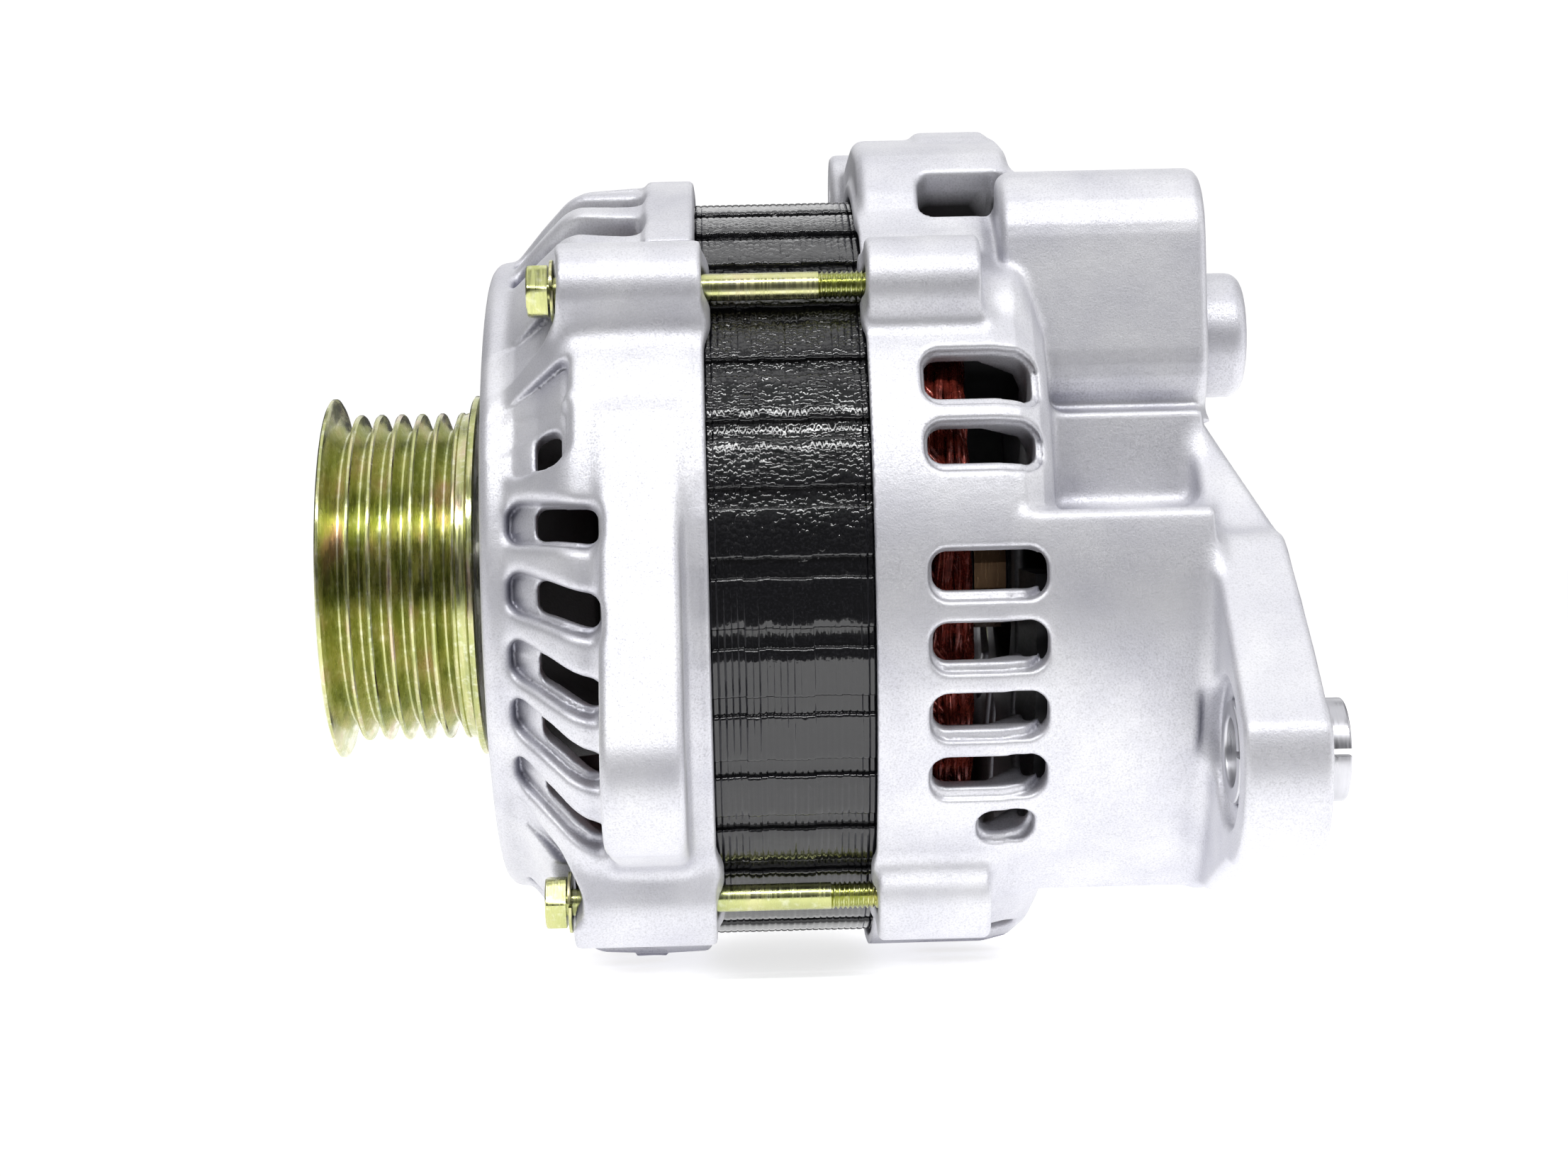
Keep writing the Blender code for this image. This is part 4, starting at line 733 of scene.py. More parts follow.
# The front bracket.
def front_casting():
    """The front bracket: bell with swept louvres, web, bolt bosses, pivot ear, windows and tab."""
    made = Casting((26.5, -89.0, -77.0), (64.6, 76.0, 77.0))
    outer = [
        (27.3, 14.5),
        (27.3, 53.0),
        (28.6, 54.6),
        (31.6, 55.0),
        (36.3, 60.6),
        (40.8, 65.4),
        (43.2, 66.7),
        (53.3, 67.2),
        (62.4, 66.9),
        (62.4, 14.5),
    ]
    made.add(lathed(rounded(outer, 1.2)))
    sector = arc((0.0, 0.0), 66.8, -60.0, 47.0, 16) + arc((0.0, 0.0), 60.0, 47.0, -60.0, 16)
    made.add(prism(sector, (58.0, 63.8), 0.7), blend=0.5)
    band = arc((0.0, 0.0), 68.2, 52.0, 128.0, 14) + arc((0.0, 0.0), 60.0, 128.0, 52.0, 14)
    made.add(prism(band, (54.2, 62.4), 0.8), blend=0.8)
    for degrees in BOLT_ANGLES:
        centre = around(BOLT_CIRCLE, degrees)
        made.add(rod(centre, BOSS_RADIUS, (40.5, 63.6), 0.8), blend=5.0)
    ear = [around(60.0, 24.0), around(66.8, 23.0)]
    ear += arc(PIVOT, 13.8, 23.0, -98.0, 12)
    ear += [(-53.0, -47.0), around(60.0, -54.0)]
    made.add(prism(rounded(ear, 4.0), (46.9, 59.7), 1.8), blend=2.6)
    made.add(block((48.6, -4.0, -68.4), (54.6, 4.0, -62.0), 0.6), blend=0.8)

    under = [(10.0, 0.0), (10.0, 50.4), (31.6, 51.4), (36.3, 57.0), (40.8, 61.8), (43.5, 63.4)]
    under = lathed(under + [(80.0, 63.6), (80.0, 0.0)])
    shallow = [(10.0, 0.0), (10.0, 54.6), (29.5, 55.0), (33.0, 55.6), (37.0, 58.4), (41.0, 62.2), (43.5, 63.6)]
    shallow = lathed(shallow + [(80.0, 63.8), (80.0, 0.0)])
    for degrees, slant in FRONT_VENTS:
        made.cut(beyond(spoke(degrees, (32.0, 46.9), 6.4, (50.0, 80.0), 2.4, slant + 1.2), under), blend=2.2)
    made.cut(beyond(spoke(-46.8, (30.6, 42.0), 4.6, (50.0, 80.0), 1.8, 5.4), shallow), blend=1.6)
    made.cut(beyond(spoke(20.4, (32.6, 42.2), 9.6, (50.0, 80.0), 2.4), shallow), blend=1.8)
    made.cut(beyond(spoke(26.2, (29.0, 42.4), 7.2, (50.0, 80.0), 1.6, -5.0, 0.0), shallow), blend=1.2)
    made.cut(beyond(spoke(38.2, (28.6, 40.5), 7.4, (50.0, 80.0), 1.6, -5.0, 0.0), shallow), blend=1.2)
    for degrees in FRONT_OTHER_VENTS:
        made.cut(beyond(spoke(degrees, (32.0, 53.8), 6.4, (50.0, 80.0), 2.6, 4.8, 0.6), under), blend=2.0)
    made.cut(lathed(rounded([(26.0, 17.2), (26.0, 31.5), (28.4, 30.0), (28.4, 18.6)], 0.8)), blend=1.0)
    for degrees in BOLT_ANGLES:
        centre = around(BOLT_CIRCLE, degrees)
        made.cut(rod(centre, 6.3, (26.0, 40.5), 0.6), blend=0.8)
    made.mark_outside()

    inner = [
        (45.3, 0.0),
        (45.3, 32.0),
        (33.0, 33.0),
        (31.2, 36.0),
        (31.2, 49.0),
        (37.4, 54.2),
        (44.5, 61.4),
        (46.5, 62.3),
        (57.9, 62.3),
        (57.9, 64.3),
        (68.0, 64.3),
        (68.0, 0.0),
    ]
    made.cut(lathed(rounded(inner, 0.8)), blend=0.8)
    for degrees, slant in FRONT_VENTS:
        made.cut(spoke(degrees, (36.9, 46.7), 5.3, (46.0, 80.0), 1.6, slant), blend=0.8)
    made.cut(spoke(18.4, (37.0, 41.2), 6.6, (46.0, 80.0), 1.7), blend=0.8)
    for degrees in FRONT_OTHER_VENTS:
        made.cut(spoke(degrees, (36.9, 53.6), 5.6, (46.0, 80.0), 1.6, 3.8, 0.6), blend=0.8)
    for index in range(8):
        window = arc((0.0, 0.0), 36.0, 45.0 * index + 8.5, 45.0 * index + 36.5, 6)
        window += arc((0.0, 0.0), 47.5, 45.0 * index + 36.5, 45.0 * index + 8.5, 6)
        made.cut(prism(rounded(window, 2.5), (24.0, 33.0)), blend=1.6)
    for degrees in BOLT_ANGLES:
        made.cut(rod(around(BOLT_CIRCLE, degrees), 2.9, (30.0, 70.0)), blend=0.6)
        made.cut(rod(around(RETAINER_CIRCLE, degrees), 2.6, (36.0, 50.0)))
    made.cut(rod((0.0, 0.0), 23.6, (31.1, 50.0)))
    made.cut(rod((0.0, 0.0), 14.6, (20.0, 35.0)), blend=0.8)
    made.cut(rod(PIVOT, 5.4, (40.0, 66.0)), blend=0.9)
    return made.mesh("front_bracket_casting")


# The rear bracket.
def box_section(inset):
    """The upper housing's section in (Y, Z): an upright rounded near side, a low crown, a flat far side."""
    corner = 12.0 - inset
    side = 28.0 - inset
    points = arc((-34.5, 34.0), corner, -90.0, 0.0, 8) + arc((-34.5, 52.5), corner, 0.0, 78.0, 8)
    return points + [(-12.0, 66.5 - inset), (8.0, 66.2 - inset), (side, 60.5 - inset), (side, 22.0 + inset)]


def foot_section(inset):
    """The lower foot's section in (Y, Z): a sector of the bell down to a flat base."""
    radius = 65.8 - inset
    top = 8.0 - inset
    base = -54.0 + inset
    start = math.degrees(math.asin(top / radius))
    end = math.degrees(math.asin(base / radius))
    return arc((0.0, 0.0), radius, start, end, 18) + [(6.0 - inset, base), (6.0 - inset, top)]


def rear_casting():
    """The rear bracket: bell, foot, upper housing, bearing hub, pivot ear, adjuster lug, bosses and vents."""
    made = Casting((86.5, -89.0, -70.0), (156.5, 76.0, 78.0))
    bell = [(89.6, 0.0), (89.6, 66.5), (109.5, 66.5), (113.4, 65.6), (116.4, 63.2), (118.3, 59.8)]
    made.add(lathed(bell + [(119.0, 55.0), (119.0, 0.0)]))
    made.add(prism(rounded(foot_section(0.0), 1.6), (112.0, 142.8), 0.9), blend=1.6)
    made.add(prism(box_section(0.0), (112.0, 145.6), 2.2), blend=1.2)
    made.add(rod((0.0, 0.0), 25.0, (112.0, 144.0), 1.6), blend=3.0)
    made.add(block((112.0, -47.0, -20.0), (144.0, 20.0, 24.0), 0.8), blend=3.4)
    ear = [(-58.0, 4.5), (-62.4, 3.4)]
    ear += arc(PIVOT, 17.6, 16.0, -98.0, 14)
    ear += [(-46.0, -54.0), (-14.0, -54.0), (16.0, -26.0), (26.0, 0.0), (26.0, 22.2), (-44.0, 22.2)]
    made.add(prism(rounded(ear, 2.5), (142.5, 156.0), 1.4), blend=3.4)
    made.add(rod(DOME, 10.6, (143.0, 155.2), 2.6), blend=2.0)
    made.add(rod(LUG, 11.0, (87.5, 113.0), 1.2), blend=3.0)
    pad = [(-36.0, 48.0), (-34.0, 60.0), (-27.0, 69.5), (-9.0, 74.2), (18.0, 74.2), (34.0, 71.0)]
    made.add(prism(rounded(pad + [(38.0, 52.0)], 5.0), (89.8, 115.5), 2.2), blend=2.6)
    rib = [(-20.0, 66.0), (-17.0, 73.0), (-9.0, 75.2), (16.0, 75.2), (16.0, 66.0)]
    made.add(prism(rounded(rib, 2.0), (100.5, 113.0), 1.2), blend=1.4)
    for degrees in BOLT_ANGLES:
        centre = around(BOLT_CIRCLE, degrees)
        made.add(rod(centre, BOSS_RADIUS, (89.8, 108.0), 0.9), blend=3.4)
        made.add(rod(around(BOLT_CIRCLE - 5.5, degrees), 5.0, (100.0, 115.0), 2.6), blend=3.0)
    for degrees in REAR_RIBS:
        made.add(spoke(degrees, (117.0, 122.5), 3.4, (22.0, 57.0), 0.8), blend=2.4)
    slope = [(144.6, 22.0), (154.0, 3.0), (156.0, -22.0), (170.0, -22.0), (170.0, 22.0)]
    made.cut(cross_prism(slope, (-110.0, 110.0)), blend=1.2)
    made.cut(block((133.6, -35.0, 56.5), (141.3, 12.0, 80.0), 1.2), blend=1.0)
    made.cut(rod(PIVOT, 11.6, (140.6, 144.1), 0.3), blend=1.4)
    under = [(80.0, 0.0), (80.0, 65.3), (109.5, 65.3), (113.0, 64.4), (116.0, 61.8), (118.0, 58.0)]
    under = lathed(under + [(118.0, 0.0)])
    for degrees, wide in REAR_VENTS:
        made.cut(beyond(spoke(degrees - 0.5, (97.9, 116.5), wide + 1.9, (60.0, 80.0), 3.2), under), blend=0.9)
    made.cut(beyond(spoke(REAR_SHORT_VENT - 0.3, (105.6, 114.8), 7.0, (60.0, 80.0), 2.8), under), blend=0.8)
    made.mark_outside()

    chamber = [(80.0, 0.0), (80.0, 64.6), (94.4, 64.6), (94.4, 62.4), (107.0, 62.4), (113.0, 58.0)]
    made.cut(lathed(chamber + [(115.0, 52.0), (115.0, 0.0)]), blend=0.6)
    hub = [(113.0, 0.0), (113.0, 20.0), (126.7, 20.0), (126.7, 17.7), (139.0, 17.7), (139.0, 0.0)]
    made.cut(lathed(hub), blend=0.6)
    foot = foot_section(4.0)[:-2] + [(-12.0, -50.0), (-12.0, -26.0), (-24.0, -16.0), (-28.5, 4.0)]
    made.cut(prism(rounded(foot, 3.0), (113.0, 138.5), 1.5), blend=0.8)
    made.cut(prism(box_section(4.0), (113.0, 141.6), 1.5), blend=0.8)
    made.cut(block((106.0, -9.0, 8.0), (126.0, 9.0, 30.0)))
    made.cut(rod(PIVOT, 8.3, (138.0, 165.0)), blend=0.7)
    made.cut(rod(LUG, 4.3, (80.0, 120.0)), blend=0.8)
    made.cut(rod(TERMINAL, 6.4, (110.0, 126.0)), blend=0.6)
    for degrees in BOLT_ANGLES:
        made.cut(rod(around(BOLT_CIRCLE, degrees), 2.7, (88.0, 105.0)), blend=0.5)
    for screw in COVER_SCREWS:
        made.cut(rod(screw, 2.6, (110.0, 125.0)))
    for degrees, wide in REAR_VENTS:
        made.cut(spoke(degrees, (98.4, 115.4), wide, (50.0, 80.0), 2.3), blend=0.9)
    made.cut(spoke(REAR_SHORT_VENT, (106.0, 114.0), 5.4, (50.0, 80.0), 2.2), blend=0.9)
    made.cut(spoke(REAR_TOP_VENT, (99.8, 114.2), 7.4, (50.0, 90.0), 2.3), blend=1.0)
    for degrees in REAR_OTHER_VENTS:
        made.cut(spoke(degrees, (98.4, 113.4), 6.1, (50.0, 80.0), 2.3), blend=0.9)
    for degrees in REAR_FACE_VENTS:
        made.cut(spoke(degrees, (112.0, 125.0), 5.2, (32.0, 54.0), 0.5), blend=0.8)
    return made.mesh("rear_bracket_casting")


piece("front_bracket_casting", front_casting(), ALUMINIUM, "housing", ("front_bracket",))
piece("rear_bracket_casting", rear_casting(), ALUMINIUM, "housing", ("rear_bracket",))


# The stator.
def laminated_core():
    """The stack of laminations: stepped edges outside with axial grooves, and winding slots inside."""
    edge = math.degrees(1.5 / STATOR_RADIUS)
    pitch = 360.0 / SLOTS
    side = [(-pitch / 2, 0.0), (-3.4, 0.0), (-edge - 0.5, 0.0), (-edge - 0.28, 0.06), (-edge - 0.1, 0.24)]
    side += [(-edge, 0.5), (-edge + 0.05, 1.05), (-0.4, 1.15)]
    outer = side + [(-offset, depth) for offset, depth in side[:0:-1]]
    offsets = [offset for offset, _ in outer]
    grooved = [depth for _, depth in outer]
    near, far = math.degrees(1.8 / CORE_BORE), math.degrees(1.8 / SLOT_BOTTOM)
    bore = [(offset, CORE_BORE) for offset in (-pitch / 2, -4.2, -3.4, -2.8, -near)]
    bore += [(-far, SLOT_BOTTOM - 0.8), (-1.1, SLOT_BOTTOM), (-0.4, SLOT_BOTTOM)]
    bore += [(-offset, radius) for offset, radius in bore[:0:-1]]
    centres = np.repeat(np.arange(SLOTS) * pitch, len(offsets))
    angles = np.radians(centres + np.tile(offsets, SLOTS))
    depths = np.tile(grooved, SLOTS)
    long = STATOR_SPAN[1] - STATOR_SPAN[0]
    sheets = int(round(long / SHEET))
    wide = long / sheets
    rings = []
    for index in range(sheets):
        start = STATOR_SPAN[0] + index * long / sheets
        size = STATOR_RADIUS - 0.02 - RANDOM.uniform(0.0, 0.05)
        shift = RANDOM.uniform(-0.0022, 0.0022)
        for part, drop in ((0.04, 0.13), (0.2, 0.03), (0.5, 0.0), (0.8, 0.03), (0.96, 0.13)):
            if (index, part) == (0, 0.04):
                part, drop = 0.0, 0.0
            if (index, part) == (sheets - 1, 0.96):
                part, drop = 1.0, 0.0
            turn = angles + np.where(depths > 0, shift, 0.0)
            rings.append(ring_at(start + wide * part, size - depths - drop, turn))
    turn = np.radians(centres + np.tile([offset for offset, _ in bore], SLOTS))
    reach = np.tile([radius for _, radius in bore], SLOTS)
    rings += [ring_at(x, reach, turn) for x in (STATOR_SPAN[1], STATOR_SPAN[0])]
    return skin(rings, closed=True)


def coil_head(ends, outward):
    """A winding head: a packed core with strands wound round it and bundles crossing over its crown."""
    start, crown = ends
    depth = crown - start
    core = [(start, 49.4), (start, 58.4), (start + depth * 0.78, 58.2), (start + depth * 0.9, 56.8)]
    core += [(start + depth * 0.9, 51.2), (start + depth * 0.78, 49.6)]
    shapes = [turned(core, segments=144)]
    turns = np.linspace(0.0, 2 * math.pi, 216, endpoint=False)
    for strand in range(26):
        share = (strand + 0.5) / 26
        if share < 0.55:
            x = start + depth * (0.06 + 0.78 * share / 0.55)
            reach = 58.9
        else:
            lean = (share - 0.55) / 0.45
            x = start + depth * (0.86 + 0.07 * math.sin(lean * math.pi))
            reach = 58.6 - 8.2 * lean
        waves = RANDOM.integers(5, 13)
        phase = RANDOM.uniform(0, 6.28)
        wobble = np.sin(turns * waves + phase) * 0.6 + np.sin(turns * 36 + phase) * 0.22
        radii = reach + 0.35 * np.sin(turns * (waves + 2) + phase * 2)
        path = ring_at(0.0, radii, turns)
        path[:, 0] = x + wobble * np.sign(depth) * 0.7
        shapes.append(tube(path, 0.55, 6, closed=True))
    steps = np.linspace(0.0, 1.0, 13)
    for index in range(SLOTS):
        first = math.radians(index * 10.0)
        for layer in range(4):
            sway = RANDOM.uniform(-0.5, 0.5)
            swing = first + math.radians(layer * 1.5 - 2.2) + math.radians(18.0) * steps * outward
            lift = np.sin(np.clip(steps * 1.25, 0, 1) * math.pi / 2)
            x = start + depth * (0.06 + (0.84 + 0.02 * sway) * lift)
            radii = 59.2 + 0.3 * sway - 1.0 * lift ** 2
            path = np.stack([x, -radii * np.cos(swing), radii * np.sin(swing)], -1)
            shapes.append(tube(path, 0.5, 6))
    return merged(shapes)


def slot_bars():
    """The conductors in the core's slots."""
    shapes = []
    for index in range(SLOTS):
        for layer in range(4):
            reach = 49.6 + layer * 2.3
            y, z = around(reach, index * 10.0)
            path = [(x, y, z) for x in (STATOR_SPAN[0] - 3.0, STATOR_SPAN[1] + 3.0)]
            shapes.append(tube(path, 1.05, 8))
    return merged(shapes)


winding = span_of("stator_winding")
piece("laminated_core", laminated_core(), VARNISH, "housing", ("stator_core",), 50.0)
front_coil = coil_head((STATOR_SPAN[0] - 0.3, winding[0]), 1)
piece("front_coil_head", front_coil, COPPER, "housing", ("stator_winding",), 60.0)
rear_coil = coil_head((STATOR_SPAN[1] + 0.3, winding[1]), -1)
piece("rear_coil_head", rear_coil, COPPER, "housing", (), 60.0)
piece("slot_conductors", slot_bars(), COPPER, "housing", (), 60.0)


# The pulley and what holds it.
def pulley_profile():
    """The pulley's (X, radius) outline, with rounded ridges and groove bottoms."""
    start, end = PULLEY_SPAN
    outline = [(start, 22.3), (start, FLANGE - 0.5), (start + 0.3, FLANGE)]
    outline += [(start + 0.75, FLANGE), (start + 1.15, FLANGE - 0.7)]
    for index in range(GROOVES + 1):
        tip = FIRST_RIDGE + GROOVE_PITCH * index
        if index:
            outline += [(tip - 0.45, RIDGE - 0.22), (tip - 0.2, RIDGE), (tip + 0.2, RIDGE)]
        else:
            outline.append((tip + 0.3, RIDGE))
        outline.append((tip + 0.45, RIDGE - 0.22))
        if index < GROOVES:
            outline += [(tip + 1.38, GROOVE_BOTTOM + 0.3), (tip + 1.62, GROOVE_BOTTOM)]
            outline += [(tip + 1.94, GROOVE_BOTTOM), (tip + 2.18, GROOVE_BOTTOM + 0.3)]
    outline += [(end - 1.9, RIDGE + 0.1), (end - 1.5, FLANGE - 0.5), (end - 1.2, FLANGE), (end - 0.3, FLANGE)]
    outline += [(end, FLANGE - 0.4), (end, 14.2), (end - 0.2, 14.0), (end, 13.6), (end, 9.1), (end - 0.3, 8.8)]
    outline += [(13.5, 8.8), (13.2, 9.1), (13.2, 13.6), (12.6, 15.2), (10.6, 20.4), (9.6, 21.3), (8.6, 21.5)]
    return outline + [(start + 0.8, 21.5)]


def washer(span, inner, outer, edge=0.25, axis=(0.0, 0.0), segments=72):
    """A plain ring with softened edges."""
    outline = [(span[0], inner), (span[0], outer), (span[1], outer), (span[1], inner)]
    return turned(rounded(outline, edge, 3), axis, segments)


def split_washer(span, inner, outer, axis=(0.0, 0.0)):
    """A spring lock washer: a ring that is cut through and slightly twisted."""
    rings = []
    steps = 60
    lift = 0.18 * (span[1] - span[0])
    low, high = span[0] + lift / 2, span[1] - lift / 2
    section = rounded([(low, inner), (low, outer), (high, outer), (high, inner)], 0.2, 2)
    for step in range(steps + 1):
        part = step / steps
        turn = math.radians(4.0 + 352.0 * part)
        shift = lift * (part - 0.5)
        cosine, sine = math.cos(turn), math.sin(turn)
        rings.append([(x + shift, axis[0] - reach * cosine, axis[1] + reach * sine) for x, reach in section])
    return skin(rings)


def stepped_shaft():
    """The shaft: threaded at its front, with its seats behind."""
    thread_end = 12.4

    def radius(x, turns):
        if x > thread_end:
            return 7.8
        wave = (x / 1.5 + turns / (2 * math.pi)) % 1.0
        worn = min(1.0, max(0.0, (x - 0.2) / 1.2))
        return 7.75 - 0.85 * np.abs(2 * wave - 1.0) * worn - (1.0 - worn) * 1.1

    places = [0.0] + list(np.arange(0.3, thread_end, 0.25)) + [thread_end + 0.05]
    rings = shaped(places, radius, segments=64)
    seats = [(13.0, 7.8), (13.2, 8.5), (45.4, 8.5), (45.6, 8.7), (46.2, 10.0), (105.6, 10.0), (106.0, 9.7)]
    seats += [(106.0, 7.5), (137.9, 7.5), (SHAFT_SPAN[1], 6.9)]
    return skin(rings + plain_rings(seats, segments=64))


pulley = turned(pulley_profile(), segments=192)
piece("ribbed_pulley", pulley, CHROMATE, "rotor", ("pulley",), 25.0)
nut = hexagon((0.0, 0.0), 24.0, span_of("pulley_nut"), 8.1)
piece("shaft_nut", nut, CHROMATE, "rotor", ("pulley_nut",), 30.0)
lock = split_washer(span_of("pulley_lock_washer"), 8.1, 12.6)
piece("shaft_lock_washer", lock, CHROMATE, "rotor", ("pulley_lock_washer",))
piece("shaft", stepped_shaft(), STEEL, "rotor", ("rotor_shaft",))
collar = washer(span_of("front_spacer_collar"), 8.9, 13.0, 0.5)
piece("spacer_collar", collar, STEEL, "rotor", ("front_spacer_collar",))


# Bolts and screws.
def through_bolt(axis, head, tip):
    """A hexagon bolt with a plain shank and a rolled thread at its end."""
    thread_start = 82.0
    pitch = 0.8
    shapes = [hexagon(axis, 8.0, (head, head + 3.4), chamfers=(True, False), turn=30.0)]
    shank = plain_rings([(head + 3.3, 2.2), (thread_start, 2.2), (thread_start + 0.3, 2.2)], axis, 32)

    def radius(x, turns):
        wave = (x / pitch - turns / (2 * math.pi)) % 1.0
        fade = min(1.0, (tip - x) / 0.8)
        return (2.3 - 0.5 * np.abs(2 * wave - 1.0)) * (0.75 + 0.25 * fade)

    shank += shaped(np.arange(thread_start + 0.4, tip, pitch / 6), radius, axis, 32)
    shapes.append(skin(shank))
    return merged(shapes)


for index, degrees in enumerate(BOLT_ANGLES):
    bolt = f"through_bolt_{index + 1}"
    centre = around(BOLT_CIRCLE, degrees)
    low, high = span_of(bolt)
    made = through_bolt(centre, low, high)
    piece(f"clamp_bolt_{index + 1}", made, BOLT_CHROMATE, "housing", (bolt,), 30.0)
    flat = f"bolt_washer_{index + 1}"
    ring = split_washer(span_of(flat), 2.7, 5.0, centre)
    piece(f"clamp_washer_{index + 1}", ring, CHROMATE, "housing", (flat,))
    screw = f"retainer_screw_{index + 1}"
    low, high = span_of(screw)
    centre = around(RETAINER_CIRCLE, degrees)
    outline = [(low, 0.0), (low, 2.0), (low + 0.4, 2.3), (high - 2.2, 2.3), (high - 2.2, 3.9)]
    outline += [(high - 1.9, 4.0), (high - 0.6, 3.6), (high - 0.1, 3.0), (high, 2.2), (high, 1.6)]
    outline += [(high - 1.4, 0.9), (high - 1.4, 0.0)]
    made = turned(outline, centre, 40)
    piece(f"plate_screw_{index + 1}", made, CHROMATE, "housing", (screw,))

for index, centre in enumerate(COVER_SCREWS):
    screw = f"rear_screw_{index + 1}"
    low, high = span_of(screw)
    head = high - 3.7
    outline = [(low, 0.0), (low, 2.3), (head + 0.1, 2.3), (head + 0.1, 0.0)]
    flange = [(head, 0.0), (head, 4.6), (head + 0.5, 5.0), (head + 0.9, 4.4), (head + 1.2, 0.0)]
    shapes = [hexagon(centre, 8.0, (head + 0.8, high), chamfers=(False, True), turn=20.0 * index)]
    shapes += [turned(outline, centre, 32), turned(flange, centre, 48)]
    piece(f"cover_screw_{index + 1}", merged(shapes), CHROMATE, "housing", (screw,), 30.0)


# The pivot bush: a rolled steel tube with a slit on its near side.
def split_bush():
    """The bush's rolled tube."""
    rings = []
    steps = 96
    gap = math.degrees(0.5 / 6.7)
    outline = [(BUSH_SPAN[0], 5.4), (BUSH_SPAN[0], 8.0), (BUSH_SPAN[1], 8.0), (BUSH_SPAN[1], 5.4)]
    section = rounded(outline, 0.5, 3)
    for step in range(steps + 1):
        turn = math.radians(gap + (360.0 - 2 * gap) * step / steps)
        rings.append([(x, PIVOT[0] - r * math.cos(turn), PIVOT[1] + r * math.sin(turn)) for x, r in section])
    return skin(rings)


piece("rolled_bush", split_bush(), SINTERED, "pivot_bush", ("pivot_bush",))


# Battery terminal.
def threaded_stud(span, reach, pitch, axis):
    """A fully threaded stud."""

    def radius(x, turns):
        wave = (x / pitch - turns / (2 * math.pi)) % 1.0
        fade = min(1.0, (span[1] - x) / 1.0)
        return (reach - 0.55 * np.abs(2 * wave - 1.0)) * (0.8 + 0.2 * fade)

    return skin(shaped(np.arange(span[0], span[1] + 0.01, pitch / 6), radius, axis, 40))


stud = threaded_stud(span_of("battery_stud"), 4.0, 1.25, TERMINAL)
piece("terminal_stud", stud, CHROMATE, "housing", ("battery_stud",))
low, high = span_of("battery_insulator")
outline = [(low, 4.3), (low, 6.1), (low + 2.5, 6.1), (low + 2.5, 10.5), (high - 3.0, 10.5)]
outline += [(high - 2.0, 9.4), (high, 8.6), (high, 4.3)]
cap = turned(rounded(outline, 0.4, 3), TERMINAL, 72)
piece("terminal_insulator", cap, BLACK_PLASTIC, "housing", ("battery_insulator",))
nut = hexagon(TERMINAL, 13.0, span_of("battery_nut"), 4.3, turn=14.0)
piece("terminal_nut", nut, CHROMATE, "housing", ("battery_nut",), 30.0)


# Bearings, with their balls.
def ball_bearing(name, radii, ball, count, ball_body):
    """Two grooved rings, and a pressed cage with its balls."""
    span = span_of(f"{name}_inner_ring")
    middle = sum(span) / 2
    pitch = (radii[1] + radii[2]) / 2
    dip = ball * 0.55
    inner = [(span[0], radii[0]), (span[0], radii[1]), (middle - dip, radii[1]), (middle, radii[1] - 0.3)]
    inner += [(middle + dip, radii[1]), (span[1], radii[1]), (span[1], radii[0])]
    outer = [(span[0], radii[2]), (span[0], radii[3]), (span[1], radii[3]), (span[1], radii[2])]
    outer += [(middle + dip, radii[2]), (middle, radii[2] + 0.3), (middle - dip, radii[2])]
    for ring, outline in (("inner", inner), ("outer", outer)):
        made = turned(rounded(outline, 0.35, 2))
        piece(f"{name}_{ring}_race", made, BEARING_STEEL, "housing", (f"{name}_{ring}_ring",))
    cage = (middle - ball * 1.12, middle + ball * 1.12)
    shapes = [washer(cage, pitch - ball * 0.28, pitch + ball * 0.28, 0.3)]
    for index in range(count):
        centre = around(pitch, 360.0 / count * index)
        lines = np.linspace(0.03, math.pi - 0.03, 13)
        outline = [(middle - ball * math.cos(line), ball * math.sin(line)) for line in lines]
        shapes.append(skin(plain_rings(outline, centre, 20)))
    piece(f"{name}_balls", merged(shapes), BEARING_STEEL, ball_body, (f"{name}_ball_cage",))


ball_bearing("front_bearing", (8.8, 12.2, 19.6, 23.5), 3.4, 7, "front_ball_cage")
ball_bearing("rear_bearing", (7.8, 10.2, 14.9, 17.5), 2.05, 7, "rear_ball_cage")


# Carried-over CAD pieces: softened edges and their own finishes.
CARRIED = {
    "front_claw_pole": (POLE_STEEL, 0.5),
    "rear_claw_pole": (POLE_STEEL, 0.5),
    "coil_bobbin": (PALE_PLASTIC, 0.2),
    "field_coil": (COPPER, 0.2),
    "front_fan": (SHEET_STEEL, 0.15),
    "rear_fan": (SHEET_STEEL, 0.15),
    "slip_ring_moulding": (BLACK_PLASTIC, 0.15),
    "front_slip_ring": (RING_BRASS, 0.15),
    "rear_slip_ring": (RING_BRASS, 0.15),
    "bearing_retainer": (CHROMATE, 0.2),
    "rectifier_terminal_block": (BLACK_PLASTIC, 0.5),
    "brush_holder": (BLACK_PLASTIC, 0.6),
    "voltage_regulator": (BLACK_PLASTIC, 0.8),
    "connector_socket": (BLACK_PLASTIC, 0.5),
    "positive_heat_sink": (SINK_ALUMINIUM, 0.5),
    "negative_heat_sink": (SINK_ALUMINIUM, 0.5),
    "front_brush": (CARBON, 0.25),
    "rear_brush": (CARBON, 0.25),
    "front_brush_spring": (STEEL, 0.0),
    "rear_brush_spring": (STEEL, 0.0),
}
for index in range(3):
    CARRIED[f"positive_diode_{index + 1}"] = (STEEL, 0.4)
    CARRIED[f"negative_diode_{index + 1}"] = (STEEL, 0.4)
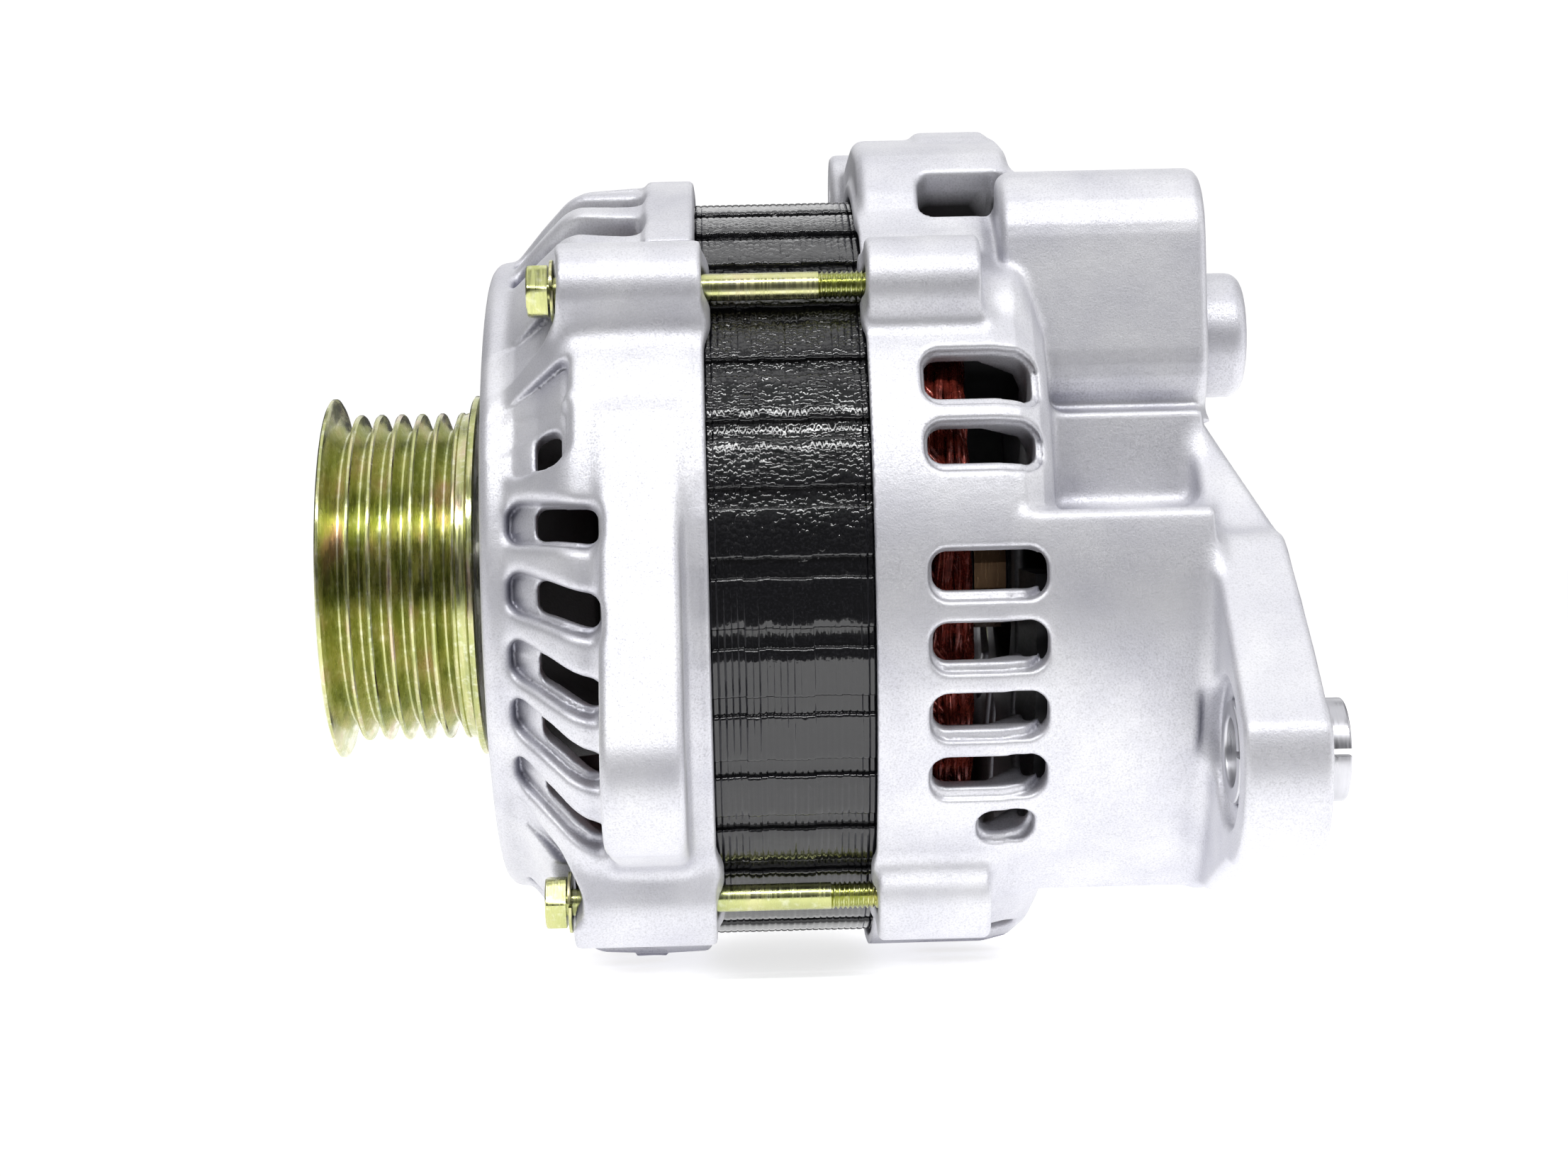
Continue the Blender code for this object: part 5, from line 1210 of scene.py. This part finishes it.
for name, (finish, edge) in CARRIED.items():
    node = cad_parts[name]
    if node.material_slots:
        for slot in node.material_slots:
            slot.material = finish
    else:
        node.data.materials.append(finish)
    if edge:
        soft = node.modifiers.new("soft_edges", "BEVEL")
        soft.width = edge * MM
        soft.segments = 2
        soft.limit_method = "ANGLE"
        soft.angle_limit = math.radians(50.0)
        soft.harden_normals = False


# Studio: a white floor, soft lights and a bright surround.
def studio_floor():
    """A wide white table top just under the lowest point."""
    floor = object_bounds()[0][2] - TABLE_GAP
    mesh = bpy.data.meshes.new("table_top")
    reach = TABLE_REACH
    corners = [(-reach, TABLE_EDGE), (reach, TABLE_EDGE), (reach, reach), (-reach, reach)]
    mesh.from_pydata([(x, y, floor) for x, y in corners], [], [(0, 1, 2, 3)])
    made = Finish("white_table")
    tone = made.ramp(made.noise(60.0, 2.0), [(0.3, 0.84), (0.7, 0.86)])
    made.set(Base_Color=tone, Roughness=0.7, Emission_Color=(1.0, 1.0, 1.0), Emission_Strength=0.72)
    mesh.materials.append(made.material)
    top = bpy.data.objects.new("table_top", mesh)
    bpy.context.scene.collection.objects.link(top)


def area_light(name, place, aim, size, power):
    """A soft rectangular light, places in millimetres."""
    data = bpy.data.lights.new(name, "AREA")
    data.shape = "RECTANGLE"
    data.size = size[0] * MM
    data.size_y = size[1] * MM
    data.energy = power
    light = bpy.data.objects.new(name, data)
    light.location = Vector(place) * MM
    way = Vector(aim) - Vector(place)
    light.rotation_euler = way.to_track_quat("-Z", "Y").to_euler()
    light.visible_camera = False
    bpy.context.scene.collection.objects.link(light)


def surround():
    """A bright even world that is dimmer at the height of the camera's own side."""
    world = bpy.data.worlds.new("studio")
    bpy.context.scene.world = world
    world.use_nodes = True
    nodes, links = world.node_tree.nodes, world.node_tree.links
    nodes.clear()
    seen = nodes.new("ShaderNodeBackground")
    seen.inputs["Color"].default_value = (1.0, 1.0, 1.0, 1.0)
    seen.inputs["Strength"].default_value = 1.05
    place = nodes.new("ShaderNodeTexCoord")
    parts = nodes.new("ShaderNodeSeparateXYZ")
    half = nodes.new("ShaderNodeMath")
    half.operation = "MULTIPLY_ADD"
    half.inputs[1].default_value = 0.5
    half.inputs[2].default_value = 0.5
    ramp = nodes.new("ShaderNodeValToRGB")
    stops = [(0.0, 0.60), (0.22, 0.45), (0.32, 0.10), (0.58, 0.08), (0.74, 0.32), (1.0, 0.50)]
    while len(ramp.color_ramp.elements) < len(stops):
        ramp.color_ramp.elements.new(0.5)
    for element, (at, grey) in zip(ramp.color_ramp.elements, stops):
        element.position = at
        element.color = (grey, grey, grey * 1.02, 1.0)
    lit = nodes.new("ShaderNodeBackground")
    path = nodes.new("ShaderNodeLightPath")
    choose = nodes.new("ShaderNodeMixShader")
    out = nodes.new("ShaderNodeOutputWorld")
    links.new(place.outputs["Generated"], parts.inputs["Vector"])
    links.new(parts.outputs["Z"], half.inputs[0])
    links.new(half.outputs[0], ramp.inputs["Fac"])
    links.new(ramp.outputs["Color"], lit.inputs["Color"])
    links.new(path.outputs["Is Camera Ray"], choose.inputs["Fac"])
    links.new(lit.outputs[0], choose.inputs[1])
    links.new(seen.outputs[0], choose.inputs[2])
    links.new(choose.outputs[0], out.inputs["Surface"])


studio_floor()
surround()
area_light("key", (60.0, -620.0, 560.0), (75.0, 0.0, 0.0), (1500.0, 50.0), 6.6)
area_light("top", (80.0, 60.0, 900.0), (80.0, 0.0, 0.0), (1200.0, 900.0), 2.6)
area_light("rear_side", (800.0, -60.0, 260.0), (90.0, 0.0, 0.0), (500.0, 500.0), 1.0)
area_light("far_side", (80.0, 800.0, 500.0), (80.0, 0.0, 0.0), (1200.0, 500.0), 1.5)

camera_data = bpy.data.cameras.new("camera")
camera_data.lens = CAMERA_LENS
camera_data.sensor_width = 36.0
camera_data.clip_start = 0.01
camera = bpy.data.objects.new("camera", camera_data)
camera.location = Vector(CAMERA_PLACE) * MM
aim = (Vector(CAMERA_AIM) - Vector(CAMERA_PLACE)).to_track_quat("-Z", "Y")
camera.rotation_euler = (aim.to_matrix() @ Matrix.Rotation(math.radians(CAMERA_ROLL), 3, "Z")).to_euler()
bpy.context.scene.collection.objects.link(camera)
bpy.context.scene.camera = camera
bpy.context.scene.view_settings.view_transform = "Standard"
